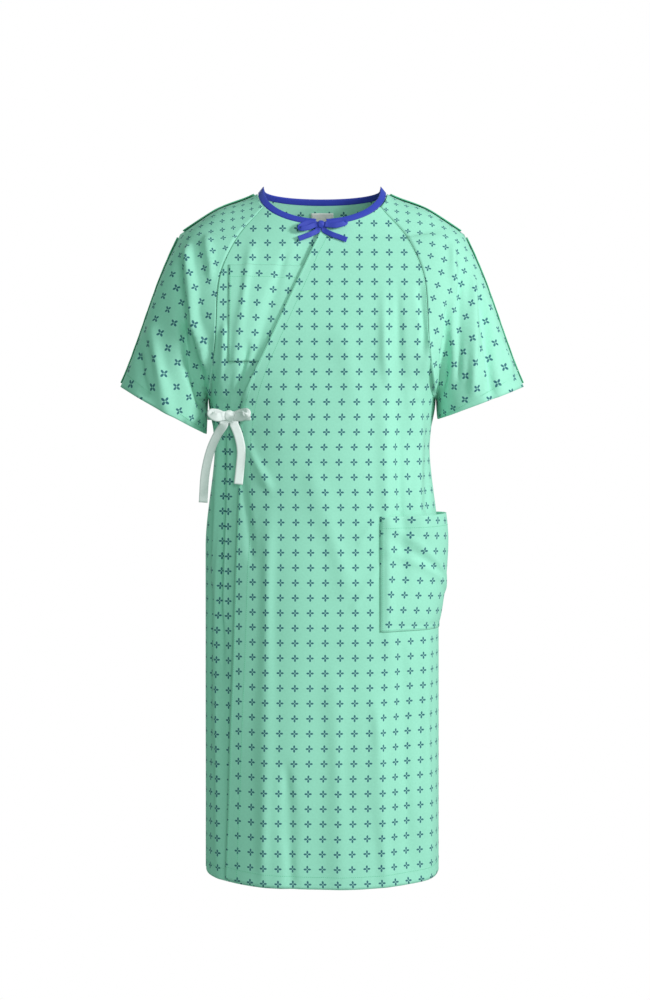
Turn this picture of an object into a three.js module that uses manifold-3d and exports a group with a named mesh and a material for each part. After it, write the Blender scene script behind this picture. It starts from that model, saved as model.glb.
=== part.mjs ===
// Patient gown, front wrap, with raglan sleeves that open along snap plackets.
// It stands in its worn form, in millimetres. +X is the wearer's left, +Y the wearer's back, +Z up.
// The origin is midway between the two neck points, on top of the shoulders.
import * as THREE from "three";
import { mergeVertices } from "three/addons/utils/BufferGeometryUtils.js";
import Module from "manifold-3d";

const wasm = await Module();
wasm.setup();

// ---- driving sizes ----
const CLOTH = 1.2; // thickness of one cloth layer
const SEAM = 0.8; // gap between two pieces sewn edge to edge
const LAYER = 1; // gap between two layers that lie on each other
const ARM_GAP = 0.9; // gap between shoulder and sleeve, which turns there
const LENGTH = 1190; // neck point to hem, at the front
const HEM_LIFT = 14; // the hem is this much higher at the sides
const NECK_HALF = 101; // centre to neck point
const NECK_DROP = 56; // front neckline below the neck points
const BACK_DROP = 16; // back neckline below the neck points
const BINDING = 10; // width of the neck binding
const BINDING_GAP = 0.18; // on top of the seam gap
const BINDING_THICK = 2.2; // folded tape with the cloth edge in it
const TIP_X = 236; // shoulder tip, where the sleeve begins
const TIP_DROP = 88;
const UNDERARM_X = 197;
const UNDERARM_DROP = 364;
const ARM_DEPTH = 100; // half depth of the armhole
const CUFF_X = 350; // outer corner of the sleeve hem
const CUFF_DROP = 342;
const CUFF_IN_X = 201; // inner corner of the sleeve hem
const CUFF_IN_DROP = 424;
const CUFF_DEPTH = 78; // half depth of the sleeve hem
const CHEST_FRONT = 128; // half depths of the body
const CHEST_BACK = 128;
const CHEST_DROP = 290; // they are reached at this height
const NECK_FRONT = 46;
const NECK_BACK = 58;
const WAIST_HALF = 186; // half width at the waist tie
const WAIST_DROP = 440;
const HIP_HALF = 202; // half width at the hip and hem
const HIP_DROP = 620;
const ROUNDNESS = 2.3; // exponent of the body's oval
const SEAM_START = 0.9; // where the raglan seam leaves the neckline, as a cosine
const SEAM_BOW = 172; // raglan seam is this far out, level with the upper chest
const SEAM_BOW_DROP = 150;
const FOLD_X = 90; // the wrap panel turns here
const WRAP_TOP = 2; // wrap edge at the neckline
const WRAP_WAIST = -137;
const WRAP_WAIST_DROP = 365;
const WRAP_HEM = -166;
const UNDER_EDGE = 70; // free edge of the under panel below the waist
const PLEAT_START = 48; // the under panel begins to sink this far before the wrap edge
const PLEAT_RUN = 42;
const PLACKET = 30; // width of a snap flap
const SNAP_R = 4.6;
const SNAP_HEAD = 1.2;
const SNAP_STEM = 1.5;
const SNAP_WASHER_R = 3.6;
const SNAP_WASHER = 0.3;
const CAP_PLAY = 0.3; // gap between a snap half and the cloth that it clamps
const STUD_PLAY = 0.6;
const SNAP_GAP = 2.1; // the closed snap holds the two layers this far apart
const SHOULDER_SNAPS = 3;
const SLEEVE_SNAPS = 2;
const SLEEVE_FLAT = 0.9; // the sleeve flap lies this much closer, because the cloth below it is flatter
const FLAP_END = 6; // a flap stops this far short of the neck binding, the tip and the sleeve hem
const TAPE = 15; // waist tie width
const TAPE_THICK = 1;
const TIE_GAP = 0.4; // gap between a knot and the tapes that come out of it
const NECK_TAPE = 9; // neck tie width
const WAIST_KNOT = { x: -158, z: -392 };
const NECK_KNOT = { x: -2, z: -66 };
const HIP_POCKET = { inner: 97, wrap: -24, top: -562, bottom: -757, gape: 20 };
const CHEST_POCKET = { inner: -24, outer: -158, top: -136, bottom: -300 };
const LABEL = { half: 20, top: -34, bottom: -62, thick: 0.8, gap: 1 };

const GREEN = { color: 0x8fd9b4, roughness: 0.9, metalness: 0 };
const BLUE = { color: 0x2f45b8, roughness: 0.75, metalness: 0 };
const WHITE = { color: 0xf1efee, roughness: 0.85, metalness: 0 };
const METAL = { color: 0xc9cdd0, roughness: 0.35, metalness: 0.9 };

const gown = new THREE.Group();
const clamp = THREE.MathUtils.clamp;
const lerp = THREE.MathUtils.lerp;
const ease = (a, b, share) => lerp(a, b, THREE.MathUtils.smoothstep(share, 0, 1));

// ---- outline of the body ----
const ridgeSlope = TIP_DROP / (TIP_X - NECK_HALF);
const ridgeZ = (x) => -(x - NECK_HALF) * ridgeSlope;
const armZ = -(TIP_DROP + UNDERARM_DROP) / 2;
const armHalf = (UNDERARM_DROP - TIP_DROP) / 2;

// Half width of the body at a height: shoulder ridge, then armhole, then side seam.
function halfWidth(z) {
  if (z > -TIP_DROP) return NECK_HALF - z / ridgeSlope;
  if (z > -UNDERARM_DROP) {
    return lerp(TIP_X, UNDERARM_X, (-TIP_DROP - z) / (UNDERARM_DROP - TIP_DROP));
  }
  if (z > -WAIST_DROP) {
    return ease(UNDERARM_X, WAIST_HALF, (-UNDERARM_DROP - z) / (WAIST_DROP - UNDERARM_DROP));
  }
  return ease(WAIST_HALF, HIP_HALF, (-WAIST_DROP - z) / (HIP_DROP - WAIST_DROP));
}

// Half depth at the armhole, nothing on the ridge or at the side seam.
function edgeDepth(z) {
  const rise = (z - armZ) / armHalf;
  return Math.abs(rise) < 1 ? ARM_DEPTH * Math.sqrt(1 - rise * rise) : 0;
}

function midDepth(z, front) {
  const fall = 1 - (1 - clamp(-z / CHEST_DROP, 0, 1)) ** 2;
  return front ? lerp(NECK_FRONT, CHEST_FRONT, fall) : lerp(NECK_BACK, CHEST_BACK, fall);
}

// A point of the body: turn 0 is the wearer's left side, 90 the front, 180 the right side, 270 the back.
function bodyPoint(turn, z) {
  const c = Math.cos(turn);
  const s = Math.sin(turn);
  const edge = edgeDepth(z);
  const depth = edge + (midDepth(z, s >= 0) - edge) * Math.abs(s) ** (2 / ROUNDNESS);
  const x = halfWidth(z) * Math.sign(c) * Math.abs(c) ** (2 / ROUNDNESS);
  return new THREE.Vector3(x, s >= 0 ? -depth : depth, z);
}

// The turn that puts a body point at x, on the front or the back.
function turnAt(x, z, front) {
  const share = clamp(x / halfWidth(z), -1, 1);
  const turn = Math.acos(Math.sign(share) * Math.abs(share) ** (ROUNDNESS / 2));
  return front ? turn : -turn;
}

const onBody = (x, z, front) => bodyPoint(turnAt(x, z, front), z);
const hemZ = (x) => -LENGTH + HEM_LIFT * (x / HIP_HALF) ** 2;

// Lower edge of the binding, which the panels meet.
const neckHalf = NECK_HALF + BINDING;
const neckTop = ridgeZ(neckHalf);
const neckRun = NECK_DROP + BINDING + neckTop;
const neckZ = (x) => neckTop - neckRun * Math.sqrt(Math.max(0, 1 - (x / neckHalf) ** 2)) - SEAM;
const neckX = (z) => neckHalf * Math.sqrt(Math.max(0, 1 - ((neckTop - z) / neckRun) ** 2)) + SEAM;
const backNeckZ = (x) => neckTop - BACK_DROP * Math.sqrt(Math.max(0, 1 - (x / neckHalf) ** 2)) - SEAM;

// Raglan seam, as x over z.
const seamTop = { x: neckHalf * SEAM_START, z: neckZ(neckHalf * SEAM_START) };
const seamCurve = new THREE.CatmullRomCurve3([
  new THREE.Vector3(seamTop.x, 0, seamTop.z),
  new THREE.Vector3(lerp(seamTop.x, SEAM_BOW, 0.6), 0, -SEAM_BOW_DROP * 0.58),
  new THREE.Vector3(SEAM_BOW, 0, -SEAM_BOW_DROP),
  new THREE.Vector3(lerp(SEAM_BOW, UNDERARM_X, 0.4), 0, lerp(-SEAM_BOW_DROP, -UNDERARM_DROP, 0.6)),
  new THREE.Vector3(UNDERARM_X, 0, -UNDERARM_DROP),
]).getSpacedPoints(120);

function seamX(z) {
  const after = seamCurve.findIndex((p) => p.z <= z);
  if (after <= 0) return after === 0 ? seamTop.x : halfWidth(z);
  const a = seamCurve[after - 1];
  const b = seamCurve[after];
  return Math.min(lerp(a.x, b.x, (a.z - z) / (a.z - b.z)), halfWidth(z));
}

// Wrap edge, as x over z: it slants from the neck to the waist and then falls to the hem.
function wrapX(z) {
  if (z > -WRAP_WAIST_DROP) {
    const run = (-z - NECK_DROP - BINDING) / (WRAP_WAIST_DROP - NECK_DROP - BINDING);
    return lerp(WRAP_TOP, WRAP_WAIST, clamp(run, 0, 1));
  }
  return lerp(WRAP_WAIST, WRAP_HEM, (-z - WRAP_WAIST_DROP) / (LENGTH - WRAP_WAIST_DROP));
}

function underX(z) {
  const run = (-z - NECK_DROP - BINDING) / (WRAP_WAIST_DROP - NECK_DROP - BINDING);
  return UNDER_EDGE * clamp(run, 0, 1);
}

// ---- cloth ----
function toMesh(name, geometry, look) {
  const mesh = new THREE.Mesh(geometry, new THREE.MeshStandardMaterial(look));
  mesh.name = name;
  mesh.geometry.computeVertexNormals();
  gown.add(mesh);
  return mesh;
}

// A closed sheet: at(u, v) is its middle face, inside(p) a point that it faces away from.
function sheet(at, inside, { thick = CLOTH, nu = 10, nv = 10, offset = () => 0 }) {
  const step = 1e-3;
  const positions = [];
  const rows = [thick / 2, -thick / 2];
  for (const side of rows) {
    for (let j = 0; j <= nv; j += 1) {
      for (let i = 0; i <= nu; i += 1) {
        const u = i / nu;
        const v = j / nv;
        const p = at(u, v);
        const du = at(Math.min(1, u + step), v).sub(at(Math.max(0, u - step), v));
        const dv = at(u, Math.min(1, v + step)).sub(at(u, Math.max(0, v - step)));
        const normal = du.cross(dv).normalize();
        if (normal.dot(p.clone().sub(inside(p))) < 0) normal.negate();
        p.addScaledVector(normal, offset(u, v, p) + side);
        positions.push(p.x, p.y, p.z);
      }
    }
  }
  const layer = (nu + 1) * (nv + 1);
  const id = (i, j, k) => k * layer + j * (nu + 1) + i;
  const faces = [];
  const quad = (a, b, c, d) => faces.push(a, b, c, a, c, d);
  for (let j = 0; j < nv; j += 1) {
    for (let i = 0; i < nu; i += 1) {
      quad(id(i, j, 0), id(i + 1, j, 0), id(i + 1, j + 1, 0), id(i, j + 1, 0));
      quad(id(i, j, 1), id(i, j + 1, 1), id(i + 1, j + 1, 1), id(i + 1, j, 1));
    }
  }
  for (let i = 0; i < nu; i += 1) {
    quad(id(i, 0, 1), id(i + 1, 0, 1), id(i + 1, 0, 0), id(i, 0, 0));
    quad(id(i, nv, 0), id(i + 1, nv, 0), id(i + 1, nv, 1), id(i, nv, 1));
  }
  for (let j = 0; j < nv; j += 1) {
    quad(id(0, j, 0), id(0, j + 1, 0), id(0, j + 1, 1), id(0, j, 1));
    quad(id(nu, j, 1), id(nu, j + 1, 1), id(nu, j + 1, 0), id(nu, j, 0));
  }
  return outward(positions, faces);
}

// A closed shape from points and faces, turned so that its faces point out.
function outward(positions, faces) {
  const corner = (k) => new THREE.Vector3().fromArray(positions, 3 * k);
  let volume = 0;
  for (let k = 0; k < faces.length; k += 3) {
    volume += corner(faces[k]).dot(corner(faces[k + 1]).cross(corner(faces[k + 2])));
  }
  if (volume < 0) faces.reverse();
  const geometry = new THREE.BufferGeometry();
  geometry.setAttribute("position", new THREE.Float32BufferAttribute(positions, 3));
  geometry.setIndex(faces);
  return geometry;
}

function toSolid(geometry) {
  const plain = geometry.clone();
  plain.deleteAttribute("normal");
  plain.deleteAttribute("uv");
  const merged = mergeVertices(plain, 1e-4);
  return new wasm.Manifold(new wasm.Mesh({
    numProp: 3,
    vertProperties: new Float32Array(merged.attributes.position.array),
    triVerts: new Uint32Array(merged.index.array),
  }));
}

function cutHoles(geometry, holes) {
  let solid = toSolid(geometry);
  for (const hole of holes) solid = solid.subtract(toSolid(hole));
  const mesh = solid.getMesh();
  const result = new THREE.BufferGeometry();
  result.setAttribute("position", new THREE.Float32BufferAttribute(mesh.vertProperties, 3));
  result.setIndex([...mesh.triVerts]);
  return result;
}

const spine = (p) => new THREE.Vector3(0, 0, p.z);
const mirror = (p, side) => new THREE.Vector3(p.x * side, p.y, p.z);

// ---- body panels ----
// Rows of a panel: the neckline, then down to the underarm, then down to the hem.
const NECK_ROWS = 6;
const TIP_ROWS = 1;
const ARM_ROWS = 8;
const CHEST_ROWS = TIP_ROWS + ARM_ROWS;
const SKIRT_ROWS = 7;
const RIDGE_ROWS = 3;
const seamTurn = Math.acos(SEAM_START);
const neckFoot = neckTop - neckRun - SEAM;

// Height of row k below the neckline: level with the shoulder tip, then evenly round the armhole.
function chestLevel(k, top) {
  if (k < TIP_ROWS) return lerp(top, -TIP_DROP, k / TIP_ROWS);
  return armZ + armHalf * Math.cos((Math.PI * (k - TIP_ROWS)) / ARM_ROWS);
}

// Height of row k of a front panel.
function frontLevel(k, low) {
  if (k < NECK_ROWS) {
    return neckTop - SEAM - neckRun * Math.sin(lerp(seamTurn, Math.PI / 2, k / NECK_ROWS));
  }
  const chest = k - NECK_ROWS;
  if (chest < CHEST_ROWS) return chestLevel(chest, neckFoot);
  return lerp(-UNDERARM_DROP, low, (chest - CHEST_ROWS) / SKIRT_ROWS);
}

// Height of row k of the back panel, or of the wrap panel, whose top row is the neckline.
function columnLevel(k, top, low) {
  const foot = Math.min(top, neckFoot);
  if (k < NECK_ROWS) return lerp(top, foot - SEAM, k / NECK_ROWS);
  const chest = k - NECK_ROWS;
  if (chest < CHEST_ROWS) return chestLevel(chest, foot - SEAM);
  return lerp(-UNDERARM_DROP, low, (chest - CHEST_ROWS) / SKIRT_ROWS);
}

const ROWS = NECK_ROWS + CHEST_ROWS + SKIRT_ROWS;
const sideX = (z) => (z > -UNDERARM_DROP ? seamX(z) : halfWidth(z)) - SEAM / 2;
const pleat = 2 * (CLOTH + 1.6 * LAYER); // the under panel lies this far below the wrap panel

// The turn at a panel's side edge, just short of the raglan or side seam.
function sideTurn(z, side, front) {
  const x = sideX(z);
  if (z > -UNDERARM_DROP) return turnAt(side * x, z, front);
  const short = SEAM / 2 / midDepth(z, front);
  const turn = side > 0 ? short ** (ROUNDNESS / 2) : Math.PI - short ** (ROUNDNESS / 2);
  return front ? turn : -turn;
}

function backAt(u, v) {
  const top = backNeckZ(lerp(-seamTop.x, seamTop.x, u));
  const low = hemZ(lerp(-HIP_HALF, HIP_HALF, u));
  const z = columnLevel(v * ROWS, top, low);
  return bodyPoint(lerp(sideTurn(z, -1, false), sideTurn(z, 1, false), u), z);
}

function underAt(u, v) {
  const z = frontLevel(v * ROWS, lerp(hemZ(-HIP_HALF), hemZ(UNDER_EDGE), u));
  const edge = z > neckFoot + SEAM ? -neckX(z) : underX(z);
  return bodyPoint(lerp(sideTurn(z, -1, true), turnAt(edge, z, true), u), z);
}

// The under panel sinks below the wrap panel before it reaches the wrap edge.
function underOffset(p) {
  return ease(0, -pleat, (p.x - wrapX(p.z) + PLEAT_START) / PLEAT_RUN);
}

function leftAt(u, v) {
  const z = frontLevel(v * ROWS, lerp(hemZ(FOLD_X), hemZ(HIP_HALF), u));
  const foldTop = neckZ(FOLD_X);
  const inner = z > foldTop ? neckX(z) : FOLD_X + SEAM / 2;
  return bodyPoint(lerp(turnAt(inner, z, true), sideTurn(z, 1, true), u), z);
}

function wrapAt(u, v) {
  const inner = FOLD_X - SEAM / 2;
  const z = columnLevel(v * ROWS, neckZ(lerp(WRAP_TOP, inner, u)), hemZ(lerp(WRAP_HEM, inner, u)));
  return onBody(lerp(wrapX(z), inner, u), z, true);
}

const deep = { nv: ROWS };
toMesh("back_panel", sheet(backAt, spine, { ...deep, nu: 16 }), GREEN);
const underSheet = { ...deep, nu: 14, offset: (u, v, p) => underOffset(p) };
toMesh("right_front_panel", sheet(underAt, spine, underSheet), GREEN);
toMesh("left_front_panel", sheet(leftAt, spine, { ...deep, nu: 8 }), GREEN);
toMesh("wrap_panel", sheet(wrapAt, spine, { ...deep, nu: 12 }), GREEN);

// ---- shoulders and sleeves ----
const tip = new THREE.Vector3(TIP_X + ARM_GAP, 0, -TIP_DROP);
const underarm = new THREE.Vector3(UNDERARM_X + ARM_GAP + CLOTH, 0, -UNDERARM_DROP);
const cuffOut = new THREE.Vector3(CUFF_X, 0, -CUFF_DROP);
const cuffIn = new THREE.Vector3(CUFF_IN_X, 0, -CUFF_IN_DROP);

// The sleeve on the wearer's left: t runs from the armhole to the hem, turn 0 is its top line.
function sleevePoint(t, turn) {
  const top = tip.clone().lerp(cuffOut, t);
  const low = underarm.clone().lerp(cuffIn, t);
  const middle = top.clone().add(low).multiplyScalar(0.5);
  const reach = top.sub(low).multiplyScalar(0.5 * Math.cos(turn));
  const point = middle.add(reach);
  point.y = -lerp(ARM_DEPTH, CUFF_DEPTH, t) * Math.sin(turn);
  return point;
}

const sleeveLength = tip.distanceTo(cuffOut);
const sleeveMid = (p) => {
  const t = clamp((Math.abs(p.x) - TIP_X + 40) / (CUFF_X - TIP_X), 0, 1);
  const point = sleevePoint(t, Math.PI / 2).setY(0);
  point.x *= Math.sign(p.x);
  return point;
};

const backSeamTop = backNeckZ(seamTop.x);
const SHOULDER_ROWS = RIDGE_ROWS + NECK_ROWS + CHEST_ROWS - 1;

// Height of row k of a shoulder piece; below the raglan seam's top they are the body panels' rows.
function shoulderLevel(k, front, seamAt) {
  const ridge = neckTop - 2 * SEAM;
  if (k < RIDGE_ROWS) return lerp(ridge, seamAt, k / RIDGE_ROWS);
  const row = k - RIDGE_ROWS;
  return front ? frontLevel(row, 0) : columnLevel(row, seamAt, 0);
}

function shoulderAt(side, front) {
  const seamAt = front ? seamTop.z : backSeamTop;
  return (u, v) => {
    const z = shoulderLevel(v * SHOULDER_ROWS, front, seamAt);
    const neck = (front ? neckX(z) : neckHalf) + SEAM;
    const inner = z > seamAt ? neck : seamX(z) + SEAM / 2;
    const open = edgeDepth(z) > 0;
    const edge = open ? 0.004 : (SEAM / 2 / midDepth(z, front)) ** (ROUNDNESS / 2);
    const start = turnAt(Math.min(inner, halfWidth(z) - 2), z, true);
    const turn = lerp(start, edge, u);
    return mirror(bodyPoint(front ? turn : -turn, z), side);
  };
}

function sleeveAt(side, front) {
  return (u, v) => {
    const t = v;
    const short = SEAM / 2 / lerp(ARM_DEPTH, CUFF_DEPTH, t);
    const turn = lerp(short, Math.PI - short, u);
    return mirror(sleevePoint(t, front ? turn : -turn), side);
  };
}

// ---- snaps ----
// A lathe shape about +Z, moved so that +Z lies along a cloth's outward normal.
function turned(profile, at, segments = 8) {
  const points = profile.map(([r, h]) => new THREE.Vector2(r, h));
  const geometry = new THREE.LatheGeometry(points, segments);
  geometry.rotateX(Math.PI / 2);
  const turn = new THREE.Quaternion().setFromUnitVectors(new THREE.Vector3(0, 0, 1), at.normal);
  geometry.applyQuaternion(turn);
  geometry.translate(at.point.x, at.point.y, at.point.z);
  geometry.deleteAttribute("normal");
  geometry.deleteAttribute("uv");
  const merged = mergeVertices(geometry, 1e-3);
  return outward([...merged.attributes.position.array], [...merged.index.array]);
}

// Outside head and inside washer joined by a stem: it clamps a cloth whose middle face is at height 0.
function rivet(play) {
  const face = CLOTH / 2 + play;
  return [
    [0, face + SNAP_HEAD],
    [SNAP_R * 0.8, face + SNAP_HEAD],
    [SNAP_R, face],
    [SNAP_STEM, face],
    [SNAP_STEM, -face],
    [SNAP_WASHER_R, -face],
    [SNAP_WASHER_R, -face - SNAP_WASHER],
    [0, -face - SNAP_WASHER],
  ];
}

const stemHole = [
  [0, CLOTH * 4],
  [SNAP_STEM + 0.3, CLOTH * 4],
  [SNAP_STEM + 0.3, -CLOTH * 4],
  [0, -CLOTH * 4],
];

// Where a line from a point, along a direction, meets the outside of a cloth: its middle face there.
function seat(cloth, from, along) {
  const ray = new THREE.Raycaster(from, along);
  const solid = new THREE.Mesh(cloth, new THREE.MeshBasicMaterial({ side: THREE.DoubleSide }));
  const hit = ray.intersectObject(solid)[0];
  const normal = hit.face.normal.clone();
  if (normal.dot(along) > 0) normal.negate();
  return { point: hit.point.clone().addScaledVector(normal, -CLOTH / 2), normal };
}

const flapLift = CLOTH + SNAP_GAP;
const FLAP_COLUMNS = 9;

// Shoulder flap: u runs along the ridge from neck to tip, v over the back from the ridge.
function shoulderFlapAt(side) {
  const from = ridgeZ(neckHalf + FLAP_END);
  const to = ridgeZ(TIP_X - FLAP_END);
  return (u, v) => {
    const z = lerp(from, to, u);
    const share = (PLACKET * v) / midDepth(z, false);
    return mirror(bodyPoint(-Math.asin(share ** (ROUNDNESS / 2)), z), side);
  };
}

function sleeveFlapAt(side) {
  const from = FLAP_END / sleeveLength;
  const to = 1 - FLAP_END / sleeveLength;
  return (u, v) => {
    const t = lerp(from, to, u);
    const across = PLACKET / lerp(ARM_DEPTH, CUFF_DEPTH, t);
    return mirror(sleevePoint(t, -0.004 - across * v), side);
  };
}

// Closes a flap onto the cloth below it: returns both cloths with the holes for their snap halves.
function snapped(label, flap, below, at, inside, count) {
  const flapHoles = [];
  const belowHoles = [];
  for (let k = 0; k < count; k += 1) {
    const u = (Math.floor((k + 0.5) * (FLAP_COLUMNS / count)) + 0.5) / FLAP_COLUMNS;
    const middleFace = at(u, 0.75);
    const away = middleFace.clone().sub(inside(middleFace)).normalize();
    const above = middleFace.clone().addScaledVector(away, 20 * CLOTH);
    const cap = seat(flap, above, away.clone().negate());
    const stud = seat(below, cap.point.clone().addScaledVector(cap.normal, -CLOTH), cap.normal.clone().negate());
    toMesh(`${label}_snap_cap_${k + 1}`, turned(rivet(CAP_PLAY), cap), METAL);
    const reversed = { point: stud.point, normal: stud.normal.clone().negate() };
    toMesh(`${label}_snap_stud_${k + 1}`, turned(rivet(STUD_PLAY), reversed), METAL);
    flapHoles.push(turned(stemHole, cap));
    belowHoles.push(turned(stemHole, stud));
  }
  return [cutHoles(flap, flapHoles), cutHoles(below, belowHoles)];
}

for (const [word, side] of [["right", -1], ["left", 1]]) {
  const shoulder = { nu: 6, nv: SHOULDER_ROWS };
  const sleeve = { nu: ARM_ROWS, nv: 5 };
  const flap = { nu: FLAP_COLUMNS, nv: 2, offset: () => flapLift };
  const highAt = shoulderFlapAt(side);
  const lowAt = sleeveFlapAt(side);
  toMesh(`${word}_shoulder_front`, sheet(shoulderAt(side, true), spine, shoulder), GREEN);
  toMesh(`${word}_sleeve_front`, sheet(sleeveAt(side, true), sleeveMid, sleeve), GREEN);
  const [highFlap, highBack] = snapped(`${word}_shoulder`, sheet(highAt, spine, flap),
    sheet(shoulderAt(side, false), spine, shoulder), highAt, spine, SHOULDER_SNAPS);
  const closer = { ...flap, offset: () => flapLift - SLEEVE_FLAT };
  const [lowFlap, lowBack] = snapped(`${word}_sleeve`, sheet(lowAt, sleeveMid, closer),
    sheet(sleeveAt(side, false), sleeveMid, sleeve), lowAt, sleeveMid, SLEEVE_SNAPS);
  toMesh(`${word}_shoulder_back`, highBack, GREEN);
  toMesh(`${word}_sleeve_back`, lowBack, GREEN);
  toMesh(`${word}_shoulder_flap`, highFlap, GREEN);
  toMesh(`${word}_sleeve_flap`, lowFlap, GREEN);
}

// ---- neck binding ----
// turn 0 is the wearer's left neck point, 90 degrees the middle of the front.
function bindingAt(from, to, front) {
  const drop = front ? NECK_DROP : BACK_DROP - BINDING / 2;
  return (u, v) => {
    const turn = lerp(from, to, u);
    const c = Math.cos(turn);
    const s = Math.sin(turn);
    const share = v * (1 - BINDING_GAP / BINDING);
    const x = lerp(NECK_HALF, neckHalf, share) * c;
    const low = front ? neckTop - neckRun * s : neckTop - BACK_DROP * s;
    const z = Math.min(lerp(-drop * s, low, share), ridgeZ(Math.abs(x)) - 0.3);
    return onBody(x, z, front);
  };
}

const foldTurn = Math.acos(FOLD_X / neckHalf);
const bindingGap = SEAM / neckHalf;
const ridgeGap = 0.05;
const middle = Math.PI / 2;
const band = { thick: BINDING_THICK, nv: 2, offset: () => 0 };
const wrapTurn = Math.acos((WRAP_TOP + 6) / neckHalf);
const bands = [
  ["right_neck_binding", middle + 0.12, Math.PI - ridgeGap, true, 10],
  ["wrap_neck_binding", foldTurn + bindingGap, wrapTurn, true, 8],
  ["left_neck_binding", ridgeGap, foldTurn - bindingGap, true, 5],
  ["back_neck_binding", ridgeGap, Math.PI - ridgeGap, false, 16],
];
for (const [name, from, to, front, nu] of bands) {
  toMesh(name, sheet(bindingAt(from, to, front), spine, { ...band, nu }), BLUE);
}

// ---- pockets and label ----
function hipAt(u, v) {
  const z = lerp(HIP_POCKET.top, HIP_POCKET.bottom, v);
  return bodyPoint(lerp(turnAt(HIP_POCKET.inner, z, true), (HIP_POCKET.wrap * Math.PI) / 180, u), z);
}

function hipOffset(u, v) {
  const puff = Math.sin(Math.PI * u) * Math.cos((Math.PI / 2) * clamp(v * 1.05, 0, 1)) ** 0.7;
  return CLOTH + LAYER + HIP_POCKET.gape * Math.max(0, puff);
}

toMesh("hip_pocket", sheet(hipAt, spine, { nu: 10, nv: 8, offset: hipOffset }), GREEN);

function chestAt(u, v) {
  const z = lerp(CHEST_POCKET.top, CHEST_POCKET.bottom, v);
  return onBody(lerp(CHEST_POCKET.outer, CHEST_POCKET.inner, u), z, true);
}

// It is sewn down at its outer edge and lies halfway between the two fronts below the wrap.
const chestOffset = (u, v, p) => (
  lerp(CLOTH + 0.8 * LAYER, pleat / 2, clamp(4 * u, 0, 1)) + underOffset(p));
toMesh("chest_pocket", sheet(chestAt, spine, { nu: 12, nv: 8, offset: chestOffset }), GREEN);

function labelAt(u, v) {
  return onBody(lerp(-LABEL.half, LABEL.half, u), lerp(LABEL.top, LABEL.bottom, v), false);
}

const inner = () => -(CLOTH + LABEL.thick) / 2 - LABEL.gap;
toMesh("care_label", sheet(labelAt, spine, { thick: LABEL.thick, nu: 4, nv: 3, offset: inner }), WHITE);

// ---- ties ----
const frontY = (x, z) => onBody(x, z, true).y;

// A flat tape along a list of points, as wide as it is told in the plane that faces the front.
function tape(name, points, width, look) {
  const path = new THREE.CatmullRomCurve3(points.map((p) => new THREE.Vector3(...p)));
  const forward = new THREE.Vector3(0, -1, 0);
  const at = (u, v) => {
    const across = path.getTangent(u).cross(forward).normalize();
    return path.getPoint(u).addScaledVector(across, width * (v - 0.5));
  };
  const behind = (p) => p.clone().add(new THREE.Vector3(0, 400, 0));
  toMesh(name, sheet(at, behind, { thick: TAPE_THICK, nu: 12, nv: 1 }), look);
}

// A knot is a short wrapped barrel that lies across, so that loops and tapes end at its flat ends.
function knot(name, place, [half, deep, tall], look) {
  const geometry = new THREE.CylinderGeometry(1, 1, 2, 10);
  geometry.rotateZ(Math.PI / 2);
  geometry.scale(half, deep, tall);
  geometry.translate(...place);
  geometry.deleteAttribute("normal");
  geometry.deleteAttribute("uv");
  toMesh(name, mergeVertices(geometry, 1e-3), look);
}

// A bow: its knot, and two flattened loops that each leave the knot and come back to it.
function bow(label, place, radii, width, look, loops) {
  knot(`${label}_knot`, place, radii, look);
  for (const [word, side, reach, rise, lean] of loops) {
    const out = (share, forward) => [place[0] + side * (radii[0] + TIE_GAP + reach * share),
      place[1] - forward - lean * share ** 2, place[2] + rise * share ** 2];
    const there = [out(0, 4), out(0.12, 4), out(0.55, 6), out(0.96, 4), out(1, 1.8)];
    const points = [...there, out(0.96, 0.6), out(0.55, 0.4), out(0.12, 0.6), out(0, 0.6)];
    tape(`${label}_${word}_loop`, points, width, look);
  }
}

const neckRadii = [7, 5, 7];
const waistRadii = [10, 6, 10];
const neckKnot = [NECK_KNOT.x, frontY(NECK_KNOT.x, NECK_KNOT.z) - 7.4, NECK_KNOT.z];
const waistKnot = [WAIST_KNOT.x, frontY(WAIST_KNOT.x, WAIST_KNOT.z) - 15, WAIST_KNOT.z];
bow("neck_bow", neckKnot, neckRadii, NECK_TAPE, BLUE, [["right", -1, 28, -6, 4], ["left", 1, 34, 3, 0]]);
bow("waist_bow", waistKnot, waistRadii, TAPE, WHITE, [["right", -1, 19, 4, 0], ["left", 1, 20, 5, 20]]);

// Hanging tails: they leave the bottom of the knot straight down, then follow points given as
// [x, z, distance in front of the cloth].
const tails = [
  ["neck_bow_right_tail", neckKnot, neckRadii, -5.4, NECK_TAPE, BLUE,
    [[-19, -83, 5], [-29, -87, 5], [-40, -91, 5]]],
  ["neck_bow_left_tail", neckKnot, neckRadii, 5.4, NECK_TAPE, BLUE,
    [[16, -83, 5], [29, -88, 5], [42, -93, 5]]],
  ["waist_bow_left_tail", waistKnot, waistRadii, 8.4, TAPE, WHITE,
    [[-142, -424, 10], [-137, -450, 9], [-139, -480, 8], [-142, -508, 8]]],
];
for (const [name, place, radii, aside, width, look, points] of tails) {
  const foot = (drop) => [place[0] + aside, place[1], place[2] - radii[2] - drop];
  const rest = points.map(([x, z, off]) => [x, frontY(x, z) - off, z]);
  tape(name, [foot(TIE_GAP), foot(3), ...rest], width, look);
}

const [kx, ky, kz] = waistKnot;
const rightFoot = (drop) => [kx - 8.4, ky, kz - waistRadii[2] - drop];
const hipSide = [[-178, -86, -424], [-190, -74, -450], [-200, -62, -490], [-204, -56, -541]];
tape("waist_bow_right_tail", [rightFoot(TIE_GAP), rightFoot(4), ...hipSide], TAPE, WHITE);

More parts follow.
